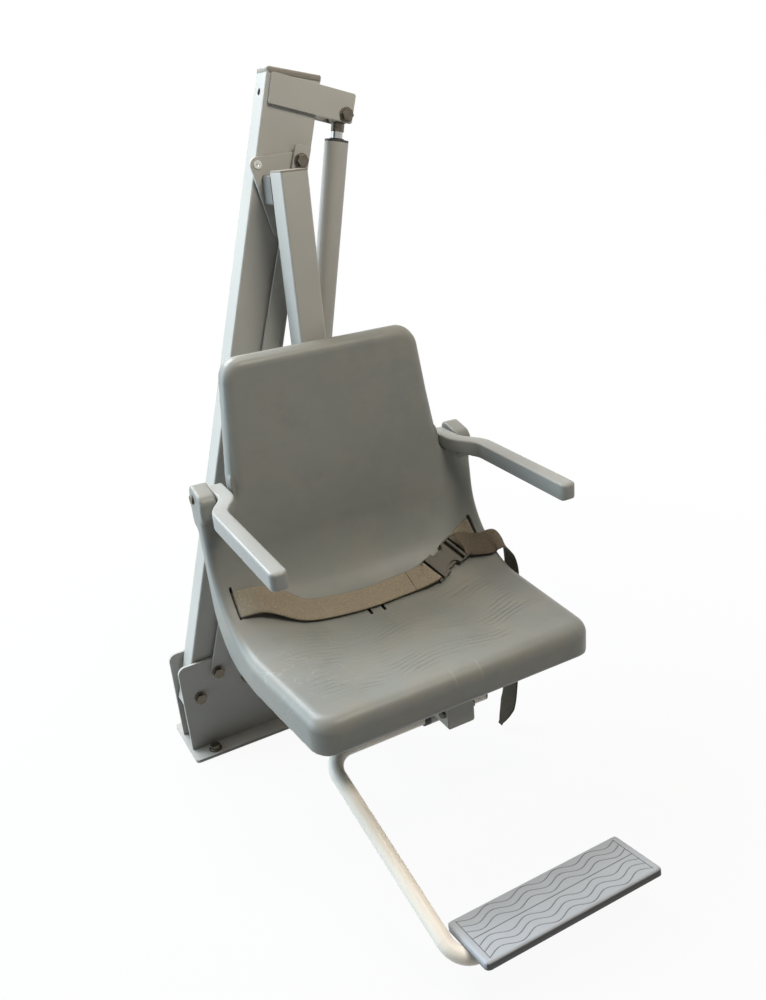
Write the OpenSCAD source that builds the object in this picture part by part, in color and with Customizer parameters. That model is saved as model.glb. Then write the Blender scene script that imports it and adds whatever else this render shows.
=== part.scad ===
// Poolside lift: a floor anchored parallelogram lift with a bucket seat.
// X runs to the right seen from the seat's front, Y to the back, Z up.
// The origin is the centre of the four deck anchors, on the underside of the base plate.

/* [Base] */
// Width of the base plate, left to right
plate_w = 330; // [300:1:400]
// Depth of the base plate, front to back
plate_d = 150; // [146:1:180]
// Thickness of the base plate
plate_t = 6; // [5:0.5:10]
// Distance of the anchor bolts from the ends of the plate
anchor_end = 46; // [40:1:60]
// Distance of the anchor bolts from the long edges of the plate
anchor_edge = 19; // [17:1:22]
// Shank diameter of an anchor bolt
anchor_d = 12.7; // [10:0.1:13]
// Length of an anchor bolt below the plate
anchor_len = 60; // [40:1:100]
// Height of the two upright ears, from the deck
ear_h = 198; // [190:1:230]
// Thickness of an ear
ear_t = 6; // [5:0.5:8]
// Distance of the ears from the left end of the plate
ear_inset = 5; // [3:1:10]

/* [Mast] */
// Width of the mast tube
mast_w = 101.6; // [90:0.1:110]
// Thickness of the mast tube, front to back
mast_t = 50.8; // [45:0.1:60]
// Wall of the square and rectangular tubes
tube_wall = 3; // [2:0.5:4]
// Length of the mast above the hanger pivot
mast_over = 199; // [190:1:240]
// Length of the mast below its pivot
mast_tail = 25; // [20:1:30]
// Offset of the tube's centre line from the pivot
mast_off = 25; // [20:1:30]
// Lean of the mast from upright, with the seat over the deck
mast_lean = 16.5; // [14:0.1:18]
// Distance of the mast pivot from the left end of the plate
pivot_in = 40; // [38:1:46]
// Height of the mast pivot above the deck
pivot_z = 120; // [110:1:130]
// Angle that the mast swings from the deck down to the water
swing = 90; // [80:1:90]
// Gap between the mast and each ear
side_gap = 2.6; // [2:0.1:4]
// Shank diameter of the pivot bolts
bolt_d = 12.7; // [10:0.1:16]

/* [Arm] */
// Length of the two flat arm plates at the top of the mast
arm_len = 162; // [150:1:180]
// Height of an arm plate
arm_h = 50.8; // [45:0.1:60]
// Thickness of an arm plate
arm_t = 5.6; // [5:0.1:8]
// Distance of the arm plates below the top of the mast
arm_drop = 8; // [6:1:20]
// Distance of the cylinder bolt from the free end and lower edge of an arm plate
arm_bolt_edge = 13.5; // [13:0.5:16]

/* [Link and hanger] */
// Width of the flat link bar
link_w = 30; // [26:1:32]
// Thickness of the link bar
link_t = 6; // [5:0.5:8]
// Sideways distance between the mast pivot and the link pivot
link_dx = 43; // [40:1:46]
// Height of the link pivot above the mast pivot
link_dz = 49; // [46:1:52]
// Distance along the mast from its pivot to the hanger pivot
hang_len = 989; // [960:1:1000]
// Side of the square post and seat arm
post_w = 50.8; // [45:0.1:55]
// Height of the top of the post above the hanger pivot
post_over = 38.8; // [35:0.1:45]
// Distance from the hanger pivot to the centre of the post, sideways
post_dx = 6; // [3:0.5:9]
// Distance of the front face of the post in front of the mast's middle
post_front = 121.5; // [118:0.5:130]
// Height of the underside of the seat arm
seat_arm_z = 236; // [225:1:245]
// Distance of the front end of the seat arm in front of the mast's middle
seat_arm_end = 550; // [530:1:555]

/* [Cylinder] */
// Outside diameter of the cylinder barrel
barrel_d = 44; // [40:0.5:46]
// Wall of the barrel
barrel_wall = 3; // [2.5:0.5:4]
// Diameter of the piston rod
rod_d = 20; // [16:0.5:22]
// Distance of the barrel's foot pin from the mast pivot, sideways
foot_dx = 233; // [228:1:238]
// Height of the foot pin above the mast pivot
foot_dz = 45; // [40:1:48]
// Distance from the top pin down to the top of the barrel
barrel_drop = 42; // [40:1:60]

/* [Seat] */
// Width of the seat over its side wings
seat_w = 552; // [530:1:570]
// Inset of the seat's front edge from each side
front_in = 14; // [10:1:40]
// Height of the underside of the seat
seat_z = 290; // [289:1:295]
// Height of the front rim above the seat's underside
seat_rim = 61; // [55:1:70]
// Height of the top of the backrest
back_top = 820; // [790:1:840]
// Inset of the backrest's top from its sides at the armrests
back_narrow = 16; // [8:1:30]
// Backward tilt of the backrest
back_tilt = 5.5; // [4:0.1:6]
// Thickness of the backrest at its edges
back_t = 36; // [32:1:38]
// Depth of the hollow in the sitting surface
dish = 14; // [8:1:15]
// Distance of the seat's front edge in front of the mast's middle
seat_front = 576; // [565:1:590]
// Radius of the bend between pan and back
bend_r = 150; // [130:1:160]
// Height of the top of the armrest lugs
lug_top = 609; // [604:1:620]
// Width of the seat belt
belt_w = 50; // [40:1:55]
// Thickness of the seat belt
belt_t = 2; // [1.6:0.1:3]

/* [Armrests] */
// Length of an armrest from its pin to its front end
armrest_len = 359; // [330:1:370]
// Width of an armrest
armrest_w = 26; // [24:1:28]
// Depth of an armrest, top to bottom
armrest_h = 26; // [22:1:30]
// Sideways step between the rear and front parts of an armrest
armrest_jog = 32; // [28:1:36]
// Diameter of an armrest pin
arm_pin_d = 8; // [6:0.5:10]

/* [Footrest] */
// Outside diameter of the footrest tube
foot_tube_d = 25.4; // [22:0.1:28]
// Length of the footrest plate
foot_len = 321; // [300:1:340]
// Width of the footrest plate, front to back
foot_w = 107; // [100:1:120]
// Thickness of the footrest plate
foot_t = 12; // [10:0.5:15]
// Backward tilt of the footrest plate
foot_tilt = 9; // [4:0.5:12]
// Height of the top of the footrest plate at its front edge
foot_z = 90; // [80:1:100]
// Distance of the footrest plate's front edge in front of the mast's middle
foot_front = 849; // [830:1:870]

/* [Hidden] */

$fn = 48;
cut = 1;
run_gap = 0.06;
seat_gap = 0.3;
hex_fn = 6;
round_fn = 32;
dish_fn = 180;

frame_col = "#a39c91";
plastic_col = "#84868a";
arm_col = "#a9adaf";
foot_col = "#b9bec2";
steel_col = "#6f675a";
white_col = "#d8d6d0";
dark_col = "#3c3a38";
belt_col = "#8c7e6a";

head_af = 19;
head_h = 8;
nut_h = 11;
washer_d = 26;
anchor_neck_d = anchor_d + 1.5;
washer_t = 2;
cap_t = 3;
hang_pin_d = 19;
hang_nut_af = 28;
side_hole_d = 12;
side_hole_drop = 41;
cross_d = 8;
cross_af = 13;
cross_in = 12;
sleeve_wall = 4;
bush_wall = 3;
corner_r = 4;
ear_corner_r = 16;
ear_w = plate_w - 2 * ear_inset;
ear_y = mast_t / 2 + side_gap;
ear_out = ear_y + ear_t;
pivot_x = pivot_in - plate_w / 2;

sin_l = sin(mast_lean);
cos_l = cos(mast_lean);
hang_x = pivot_x + hang_len * sin_l + mast_off * cos_l;
hang_z = pivot_z + hang_len * cos_l - mast_off * sin_l;
link_x = pivot_x + link_dx;
link_z = pivot_z + link_dz;
link_top_x = hang_x + link_dx;
link_top_z = hang_z + link_dz;
link_lean = atan2(link_top_x - link_x, link_top_z - link_z);
link_len = norm([link_top_x - link_x, link_top_z - link_z]);
link_gap = 1.5;
link_back = ear_out + link_gap;
link_front = link_back + link_t;
link_tab = 26;

mast_len = hang_len + mast_over;
mast_left = mast_off - mast_w / 2;
mast_right = mast_off + mast_w / 2;
arm_left = mast_left + corner_r * 2;
arm_right = arm_left + arm_len;
arm_top = mast_len - arm_drop;
arm_bolt_a = arm_top - arm_h + arm_bolt_edge;
arm_bolt_x = arm_right - arm_bolt_edge;
top_x = pivot_x + arm_bolt_a * sin_l + arm_bolt_x * cos_l;
top_z = pivot_z + arm_bolt_a * cos_l - arm_bolt_x * sin_l;
foot_x = pivot_x + foot_dx;
foot_pz = pivot_z + foot_dz;
rod_lean = atan2(top_x - foot_x, top_z - foot_pz);
cyl_len = norm([top_x - foot_x, top_z - foot_pz]);
eye_d = 32;
eye_w = 26;
foot_eye_w = 40;
foot_pin_d = 16;
foot_eye_d = 40;
foot_neck = 34;
eye_neck = 28;
eye_neck_d = 24;
piston_h = 30;
gland_h = 36;
gland_lip = 4;
low_lean = mast_lean - swing;
low_top = [arm_bolt_a * sin(low_lean) + arm_bolt_x * cos(low_lean),
    arm_bolt_a * cos(low_lean) - arm_bolt_x * sin(low_lean)];
stroke = norm(low_top - [foot_dx, foot_dz]) - cyl_len;
rod_end = barrel_drop + stroke + gland_h + piston_h + gland_lip;

stop_dx = 101;
stop_dz = 12;
stop_x = pivot_x + stop_dx;
stop_z = pivot_z + stop_dz;
stop_face = [pivot_x + mast_right * cos_l, pivot_z - mast_right * sin_l];
stop_r = (stop_x - stop_face[0]) * cos_l - (stop_z - stop_face[1]) * sin_l;

seat_x = hang_x - post_dx;
post_top = hang_z + post_over;
post_back = post_front - post_w;
arm_top_z = seat_arm_z + post_w;
standoff_w = 36;
standoff_h = 50;
lobe_dx = -36.5;
lobe_dz = 49.7;
lobe_r = 13;
lobe_hole_d = 12;
top_r = 16;
low_dx = -7.5;
low_dz = -61;
low_r = 16;

rim_z = seat_z + seat_rim;
bend_z = rim_z + bend_r;
rim_back_y = 192;
bend_y = rim_back_y + bend_r / cos(back_tilt);
outer_r = 110;
front_corner_r = 42;
top_corner_r = 38;
edge_r = 22;
wing_r = 14;
lug_w = 31;
lug_in = seat_w / 2 - lug_w;
lug_gap = 3;
armrest_gap = 4;
armrest_x = lug_in - lug_gap - armrest_w / 2;
back_low_w = 2 * (armrest_x - armrest_w / 2 - armrest_gap);
back_top_w = back_low_w - 2 * back_narrow;
seat_front_w = seat_w - 2 * front_in;
arm_pin_drop = 24;
arm_pin_z = lug_top - arm_pin_drop;
arm_pin_y = 153;
arm_pin_len = 88;
lug_front_y = 195;
lug_back_y = 134;
lug_deep = 80;
lug_low_z = lug_top - lug_deep;
slot_angle = 49.5;
slot_in = 28;
slot_x = seat_w / 2 - slot_in;
slot_t = 7;
drain_w = 6;
drain_l = 26;
drain_gap = 28;
drain_y = 292;
rail_ys = [300, 480];
rail_w = 36;
rail_screw_x = 120;
rail_screw_d = 8;
rail_screw_len = 26;
armrest_tilt = 2.5;
armrest_tip_share = 0.4;
notch_floor = arm_pin_z - armrest_h / (2 * cos(armrest_tilt))
    - (lug_front_y - arm_pin_y) * tan(armrest_tilt) - seat_gap;
jog_start = 215;
jog_end = 268;
buckle_l = 40;
buckle_in = 56;
buckle_x = slot_x - buckle_in - 2 * buckle_l;
buckle_t = 12;
buckle_side = 4;
buckle_w = belt_w + 2 * buckle_side;
prong_share = 0.7;
belt_drop = 48;
belt_top = sqrt(pow(bend_r - 2 * seat_gap, 2) - pow(belt_w / 2, 2));
tail_low = 40;
tail_angle = 37;
rim_w = 51;
dish_half = seat_w / 2 - rim_w;
dish_r = (dish_half * dish_half + dish * dish) / (2 * dish);

sleeve_od = foot_tube_d + 2 * (run_gap + tube_wall);
sleeve_len = 46;
foot_axis_in = 75;
foot_axis_y = seat_arm_end - foot_axis_in;
foot_axis_z = seat_arm_z - sleeve_od / 2;
foot_wall = 2.2;
saddle_shares = [0.25, 0.75];
saddle_t = 4;
saddle_w = 20;
saddle_l = 62;
saddle_screw_y = 24;
foot_screw_d = 5;
foot_screw_depth = 8;
foot_bend_r = 38;
foot_edge_r = 5;
foot_corner_r = 8;
bend_thin = 0.2;
bend_lap = 2;
foot_left_dx = 164;
leg_corner_dx = 214;
leg_skew = 5.4;
lateral_dx = 91;
low_right_in = 32;
foot_left = seat_x - foot_left_dx;
low_right = foot_len - foot_left_dx - low_right_in;
clamp_gap = 3.5;
low_v = foot_w / 2;
low_w = -(foot_t + clamp_gap + foot_tube_d / 2);
low_y = foot_front - low_v * cos(foot_tilt) - low_w * sin(foot_tilt);
low_z = foot_z - low_v * sin(foot_tilt) + low_w * cos(foot_tilt);
foot_pitch = atan2(foot_axis_z - low_z, low_y - foot_axis_y);
leg_len = norm([foot_axis_z - low_z, low_y - foot_axis_y]);
leg_bend_x = foot_bend_r * tan((90 + leg_skew) / 2) - leg_corner_dx;
leg_run = (leg_len - 2 * foot_bend_r) / cos(leg_skew);
low_run = low_right - leg_bend_x - leg_run * sin(leg_skew);

// solid helpers

module y_cyl(d, y0, y1, fn = $fn) {
    translate([0, y0, 0]) rotate([-90, 0, 0]) cylinder(d = d, h = y1 - y0, $fn = fn);
}

module x_cyl(d, x0, x1, fn = $fn) {
    translate([x0, 0, 0]) rotate([0, 90, 0]) cylinder(d = d, h = x1 - x0, $fn = fn);
}

module rounded(w, h, r) {
    for (sx = [-1, 1], sy = [-1, 1])
        translate([sx * (w / 2 - r), sy * (h / 2 - r)]) circle(r = r);
    square([w, h - 2 * r], center = true);
    square([w - 2 * r, h], center = true);
}

module box_tube(w, d, wall, h) {
    linear_extrude(height = h) difference() {
        rounded(w, d, corner_r);
        rounded(w - 2 * wall, d - 2 * wall, corner_r / 2);
    }
}

module hex_y(af, y0, y1) {
    translate([0, y0, 0]) rotate([-90, 0, 0])
        cylinder(d = af / cos(30), h = y1 - y0, $fn = hex_fn);
}

module hex_z(af, h) {
    cylinder(d = af / cos(30), h = h, $fn = hex_fn);
}

module ring_y(d_out, d_in, y0, y1) {
    difference() {
        y_cyl(d_out, y0, y1);
        y_cyl(d_in, y0 - cut, y1 + cut);
    }
}

module plate_xz(y0, y1) {
    translate([0, y1, 0]) rotate([90, 0, 0]) linear_extrude(height = y1 - y0) children();
}

// places

module at_pivot() { translate([pivot_x, 0, pivot_z]) children(); }

module in_mast() { at_pivot() rotate([0, mast_lean, 0]) children(); }

module at_hanger() { translate([hang_x, 0, hang_z]) children(); }

module at_link() { translate([link_x, 0, link_z]) children(); }

module in_link() { at_link() rotate([0, link_lean, 0]) children(); }

module in_cylinder() { translate([top_x, 0, top_z]) rotate([0, rod_lean, 0]) children(); }

module in_seat() { translate([seat_x, 0, 0]) children(); }

module in_footrest() {
    translate([seat_x, -foot_axis_y, foot_axis_z]) rotate([foot_pitch, 0, 0]) children();
}

module in_foot_plate() {
    translate([foot_left, -foot_front, foot_z]) rotate([-foot_tilt, 0, 0]) children();
}

// base

module anchor_places() {
    for (sx = [-1, 1], sy = [-1, 1])
        translate([sx * (plate_w / 2 - anchor_end), sy * (plate_d / 2 - anchor_edge), 0]) children();
}

module base_plate() {
    color(frame_col) difference() {
        linear_extrude(height = plate_t) rounded(plate_w, plate_d, corner_r * 2);
        anchor_places() translate([0, 0, -cut])
            cylinder(d = anchor_neck_d + 2 * run_gap, h = plate_t + 2 * cut);
    }
}

module ear_outline() {
    top = ear_h - ear_corner_r;
    for (sx = [-1, 1])
        translate([sx * (ear_w / 2 - ear_corner_r), top]) circle(r = ear_corner_r);
    translate([-ear_w / 2, plate_t]) square([ear_w, top - plate_t]);
    translate([ear_corner_r - ear_w / 2, plate_t])
        square([ear_w - 2 * ear_corner_r, ear_h - plate_t]);
}

module ear(y0, y1) {
    difference() {
        plate_xz(y0, y1) ear_outline();
        at_pivot() y_cyl(bolt_d + 2 * run_gap, y0 - cut, y1 + cut);
        translate([stop_x, 0, stop_z]) y_cyl(bolt_d + 2 * run_gap, y0 - cut, y1 + cut);
        translate([foot_x, 0, foot_pz]) y_cyl(foot_pin_d, y0 - cut, y1 + cut);
        children();
    }
}

module front_ear() {
    color(frame_col) ear(-ear_out, -ear_y)
        at_link() y_cyl(bolt_d, -ear_out - cut, cut - ear_y);
}

module rear_ear() {
    color(frame_col) ear(ear_y, ear_out);
}

module deck_anchors() {
    color(steel_col) anchor_places() {
        translate([0, 0, -anchor_len]) cylinder(d = anchor_d, h = anchor_len);
        cylinder(d = anchor_neck_d, h = plate_t);
        translate([0, 0, plate_t]) cylinder(d = washer_d, h = washer_t);
        translate([0, 0, plate_t + washer_t]) hex_z(head_af, head_h);
    }
}

module through_bolt(front, back) {
    hex_y(head_af, front - washer_t - head_h, front - washer_t);
    y_cyl(washer_d, front - washer_t, front);
    y_cyl(bolt_d, front - washer_t, back);
}

module pivot_bolts() {
    reach = ear_out + washer_t + nut_h + link_gap;
    color(steel_col) {
        at_pivot() through_bolt(-ear_out, reach);
        translate([stop_x, 0, stop_z]) through_bolt(-ear_out, reach);
        at_link() through_bolt(-link_front - seat_gap, -ear_y);
    }
}

module nut_and_washer(y0, bolt) {
    ring_y(washer_d, bolt + 2 * run_gap, y0, y0 + washer_t);
    difference() {
        hex_y(head_af, y0 + washer_t, y0 + washer_t + nut_h);
        y_cyl(bolt + 2 * run_gap, y0, y0 + washer_t + nut_h + cut);
    }
}

module pivot_nuts() {
    color(steel_col) {
        at_pivot() nut_and_washer(ear_out, bolt_d);
        translate([stop_x, 0, stop_z]) nut_and_washer(ear_out, bolt_d);
    }
}

module stop_bumper() {
    color(dark_col) translate([stop_x, 0, stop_z])
        ring_y(2 * (stop_r - seat_gap), bolt_d + 2 * run_gap, -ear_y, ear_y);
}

module foot_pin_stubs() {
    lip = 3;
    color(steel_col) translate([foot_x, 0, foot_pz]) for (s = [0, 1]) mirror([0, s, 0]) {
        y_cyl(foot_pin_d, -ear_out, -ear_y);
        y_cyl(washer_d, -ear_out - lip, -ear_out);
    }
}

// mast

module sleeve_hole(pin, reach) {
    y_cyl(pin + 2 * (bush_wall + sleeve_wall), -reach, reach);
}

module mast_tube() {
    color(frame_col) in_mast() difference() {
        translate([mast_off, 0, -mast_tail])
            box_tube(mast_w, mast_t, tube_wall, mast_tail + mast_len - cap_t);
        sleeve_hole(bolt_d, mast_t);
        translate([mast_off, 0, hang_len]) sleeve_hole(hang_pin_d, mast_t);
        translate([0, 0, mast_len - side_hole_drop])
            x_cyl(side_hole_d, mast_left - cut, mast_left + tube_wall + cut);
    }
}

module mast_cap() {
    plug = 16;
    slack = 0.3;
    color(dark_col) in_mast() translate([mast_off, 0, mast_len - cap_t]) {
        linear_extrude(height = cap_t) rounded(mast_w, mast_t, corner_r);
        translate([0, 0, -plug]) linear_extrude(height = plug) difference() {
            rounded(mast_w - 2 * (tube_wall + slack), mast_t - 2 * (tube_wall + slack), corner_r / 2);
            rounded(mast_w - 4 * tube_wall, mast_t - 4 * tube_wall, corner_r / 2);
        }
    }
}

module cross_sleeve(pin) {
    ring_y(pin + 2 * (bush_wall + sleeve_wall), pin + 2 * bush_wall, -mast_t / 2, mast_t / 2);
}

module cross_bushes(pin) {
    flange = side_gap - seat_gap;
    length = mast_t / 3;
    for (s = [0, 1]) mirror([0, s, 0]) difference() {
        union() {
            y_cyl(pin + 2 * bush_wall, -mast_t / 2, length - mast_t / 2);
            y_cyl(pin + 2 * (bush_wall + sleeve_wall), -mast_t / 2 - flange, -mast_t / 2);
        }
        y_cyl(pin + 2 * run_gap, -mast_t, 0);
    }
}

module pivot_sleeve() { color(frame_col) in_mast() cross_sleeve(bolt_d); }

module pivot_bushes() { color(white_col) in_mast() cross_bushes(bolt_d); }

module hanger_sleeve() {
    color(frame_col) in_mast() translate([mast_off, 0, hang_len]) cross_sleeve(hang_pin_d);
}

module hanger_bushes() {
    color(white_col) in_mast() translate([mast_off, 0, hang_len]) cross_bushes(hang_pin_d);
}

module arm_plate(y0) {
    color(frame_col) in_mast() difference() {
        plate_xz(y0, y0 + arm_t)
            translate([arm_left + arm_len / 2, arm_top - arm_h / 2]) rounded(arm_len, arm_h, corner_r);
        translate([arm_bolt_x, 0, arm_bolt_a]) y_cyl(bolt_d + 2 * run_gap, y0 - cut, y0 + arm_t + cut);
    }
}

module arm_front_plate() { arm_plate(-mast_t / 2 - arm_t); }

module arm_rear_plate() { arm_plate(mast_t / 2); }

module arm_bolt() {
    out = mast_t / 2 + arm_t;
    color(steel_col) in_mast() translate([arm_bolt_x, 0, arm_bolt_a])
        through_bolt(-out, out + washer_t + nut_h + link_gap);
}

module arm_nut() {
    color(steel_col) in_mast() translate([arm_bolt_x, 0, arm_bolt_a])
        nut_and_washer(mast_t / 2 + arm_t, bolt_d);
}

module arm_spacers() {
    color(steel_col) in_mast() translate([arm_bolt_x, 0, arm_bolt_a]) for (s = [0, 1])
        mirror([0, s, 0]) ring_y(eye_d - 2 * bush_wall, bolt_d + 2 * run_gap,
            -mast_t / 2, -eye_w / 2 - seat_gap);
}

// cylinder

module rod_eye() {
    color(steel_col) in_cylinder() difference() {
        union() {
            y_cyl(eye_d, -eye_w / 2, eye_w / 2);
            translate([0, 0, -eye_neck]) cylinder(d = eye_neck_d, h = eye_neck);
        }
        y_cyl(bolt_d + 2 * run_gap, -eye_w, eye_w);
    }
}

module piston_rod() {
    color("silver") in_cylinder() translate([0, 0, -rod_end])
        cylinder(d = rod_d, h = rod_end - eye_neck);
}

module piston() {
    color(dark_col) in_cylinder() translate([0, 0, -rod_end]) difference() {
        cylinder(d = barrel_d - 2 * barrel_wall - 2 * run_gap, h = piston_h);
        translate([0, 0, -cut]) cylinder(d = rod_d, h = piston_h + 2 * cut);
    }
}

module barrel_tube() {
    low = cyl_len - foot_neck;
    color(frame_col) in_cylinder() translate([0, 0, -low]) difference() {
        cylinder(d = barrel_d, h = low - barrel_drop - gland_lip);
        translate([0, 0, -cut])
            cylinder(d = barrel_d - 2 * barrel_wall, h = low + cut);
    }
}

module barrel_gland() {
    color(dark_col) in_cylinder() translate([0, 0, -barrel_drop - gland_h]) difference() {
        union() {
            cylinder(d = barrel_d - 2 * barrel_wall, h = gland_h);
            translate([0, 0, gland_h - gland_lip]) cylinder(d = barrel_d, h = gland_lip);
        }
        translate([0, 0, -cut]) cylinder(d = rod_d + 2 * run_gap, h = gland_h + 2 * cut);
    }
}

module rod_wiper() {
    lip = 2.5;
    color(dark_col) in_cylinder() translate([0, 0, -barrel_drop]) difference() {
        cylinder(d = rod_d + 2 * bush_wall, h = lip);
        translate([0, 0, -cut]) cylinder(d = rod_d + 2 * run_gap, h = lip + 2 * cut);
    }
}

module barrel_foot() {
    plug = 20;
    color(frame_col) in_cylinder() difference() {
        union() {
            translate([0, 0, -cyl_len]) cylinder(d = barrel_d - 2 * barrel_wall, h = foot_neck + plug);
            translate([0, 0, -cyl_len + foot_neck - plug / 2]) cylinder(d = barrel_d, h = plug / 2);
            translate([0, 0, -cyl_len]) y_cyl(foot_eye_d, -foot_eye_w / 2, foot_eye_w / 2);
        }
        translate([0, 0, -cyl_len]) y_cyl(foot_pin_d + 2 * bush_wall, -foot_eye_w, foot_eye_w);
    }
}

module foot_bush() {
    half = ear_y - seat_gap;
    color(white_col) in_cylinder() translate([0, 0, -cyl_len])
        ring_y(foot_pin_d + 2 * bush_wall, foot_pin_d + 2 * run_gap, -half, half);
}

// link

module link_bar() {
    far = link_len + link_tab;
    color(frame_col) in_link() difference() {
        plate_xz(-link_front, -link_back) {
            circle(d = link_w);
            translate([-link_w / 2, 0]) square([link_w, far - corner_r]);
            translate([0, far - link_w / 2]) rounded(link_w, link_w, corner_r);
        }
        for (z = [0, link_len]) translate([0, 0, z])
            y_cyl(bolt_d + 2 * bush_wall, -link_front - cut, cut - link_back);
    }
}

module link_bushes() {
    slack_share = [1, 3];
    color(white_col) in_link() for (i = [0, 1]) translate([0, 0, i * link_len]) difference() {
        union() {
            y_cyl(bolt_d + 2 * bush_wall, -link_front, -link_back);
            y_cyl(washer_d, -link_back, -ear_out - seat_gap);
        }
        y_cyl(bolt_d + 2 * run_gap * slack_share[i], -link_front - cut, 0);
    }
}

// hanger

module bracket_plate() {
    color(frame_col) at_hanger() difference() {
        plate_xz(-ear_out, -ear_y) hull() {
            translate([lobe_dx, lobe_dz]) circle(r = lobe_r, $fn = round_fn);
            translate([link_dx, link_dz]) circle(r = top_r, $fn = round_fn);
            translate([low_dx, low_dz]) circle(r = low_r, $fn = round_fn);
        }
        y_cyl(hang_pin_d, -ear_out - cut, 0);
        translate([link_dx, 0, link_dz]) y_cyl(bolt_d, -ear_out - cut, 0);
        translate([lobe_dx, 0, lobe_dz]) y_cyl(lobe_hole_d, -ear_out - cut, 0);
    }
}

module hanger_pin() {
    color(steel_col) at_hanger() y_cyl(hang_pin_d, -ear_out, mast_t / 2 + side_gap + washer_t + nut_h);
}

module hanger_nut() {
    start = mast_t / 2 + side_gap;
    color(steel_col) at_hanger() {
        ring_y(hang_pin_d + 2 * (bush_wall + sleeve_wall), hang_pin_d + 2 * run_gap, start, start + washer_t);
        difference() {
            hex_y(hang_nut_af, start + washer_t, start + washer_t + nut_h);
            y_cyl(hang_pin_d + 2 * run_gap, start, start + washer_t + nut_h + cut);
        }
    }
}

module lock_bush() {
    lip = 1.2;
    color(white_col) at_hanger() translate([lobe_dx, 0, lobe_dz]) {
        ring_y(lobe_hole_d, lobe_hole_d / 2, -ear_out, -ear_y);
        ring_y(lobe_hole_d + 2 * lip, lobe_hole_d / 2, -ear_out - lip, -ear_out);
    }
}

module link_top_bolt() {
    color(steel_col) at_hanger() translate([link_dx, 0, link_dz])
        through_bolt(-link_front - seat_gap, -ear_y);
}

module standoff() {
    top = post_top - corner_r - cap_t;
    color(frame_col) in_seat() plate_xz(-post_back, -ear_out)
        translate([(standoff_w - post_w) / 2, top - standoff_h / 2]) difference() {
            rounded(standoff_w, standoff_h, corner_r);
            rounded(standoff_w - 2 * tube_wall, standoff_h - 2 * tube_wall, corner_r / 2);
        }
}

module seat_post() {
    low = seat_arm_z + post_w;
    color(frame_col) in_seat() translate([0, post_w / 2 - post_front, low])
        box_tube(post_w, post_w, tube_wall, post_top - cap_t - low);
}

module post_cap() {
    plug = 14;
    slack = 0.3;
    inner = post_w - 2 * (tube_wall + slack);
    color(frame_col) in_seat() translate([0, post_w / 2 - post_front, post_top - cap_t]) {
        linear_extrude(height = cap_t) rounded(post_w, post_w, corner_r);
        translate([0, 0, -plug]) linear_extrude(height = plug) difference() {
            rounded(inner, inner, corner_r / 2);
            rounded(inner - 2 * tube_wall, inner - 2 * tube_wall, corner_r / 2);
        }
    }
}

module seat_arm() {
    length = seat_arm_end - cap_t - post_back;
    color(frame_col) in_seat() difference() {
        translate([0, -post_back, seat_arm_z + post_w / 2]) rotate([90, 0, 0])
            box_tube(post_w, post_w, tube_wall, length);
        translate([0, -seat_arm_end + cross_in, seat_arm_z + post_w / 2])
            x_cyl(cross_d + 2 * run_gap, -post_w, post_w);
    }
}

module arm_end_cap() {
    plug = 14;
    slack = 0.3;
    inner = post_w - 2 * (tube_wall + slack);
    color(frame_col) in_seat() translate([0, -seat_arm_end, seat_arm_z + post_w / 2]) difference() {
        rotate([-90, 0, 0]) {
            linear_extrude(height = cap_t) rounded(post_w, post_w, corner_r);
            translate([0, 0, cap_t]) linear_extrude(height = plug) difference() {
                rounded(inner, inner, corner_r / 2);
                rounded(inner - 2 * tube_wall, inner - 2 * tube_wall, corner_r / 2);
            }
        }
        translate([0, cross_in, 0]) x_cyl(cross_d + 2 * run_gap, -post_w, post_w);
    }
}

module arm_cross_bolt() {
    half = post_w / 2;
    cross_head = 6;
    color(steel_col) in_seat() translate([0, -seat_arm_end + cross_in, seat_arm_z + post_w / 2]) {
        x_cyl(cross_d, -half, half);
        for (s = [0, 1]) mirror([s, 0, 0]) translate([half, 0, 0]) rotate([0, 90, 0])
            hex_z(cross_af, cross_head);
    }
}

module rail_places() {
    for (y = rail_ys, sx = [-1, 1]) translate([sx * rail_screw_x, -y, 0]) children();
}

module seat_rails() {
    low = seat_arm_z + post_w;
    color(frame_col) in_seat() for (y = rail_ys) difference() {
        translate([0, -y, low]) linear_extrude(height = seat_z - low)
            rounded(2 * rail_screw_x + rail_w, rail_w, corner_r);
        for (sx = [-1, 1]) translate([sx * rail_screw_x, -y, low - cut])
            cylinder(d = rail_screw_d + 2 * run_gap, h = seat_z - low + 2 * cut);
    }
}

module rail_screws() {
    low = seat_arm_z + post_w;
    head = 5;
    color(steel_col) in_seat() rail_places() {
        translate([0, 0, low]) cylinder(d = rail_screw_d, h = rail_screw_len);
        translate([0, 0, low - head]) cylinder(d = 2 * rail_screw_d, h = head);
    }
}

// seat

function arc(cy, cz, r, a0, a1, n) =
    [for (i = [0:n]) [cy + r * cos(a0 + (a1 - a0) * i / n), cz + r * sin(a0 + (a1 - a0) * i / n)]];

module extrude_x(w) {
    translate([-w / 2, 0, 0]) rotate([90, 0, 90]) linear_extrude(height = w) children();
}

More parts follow.
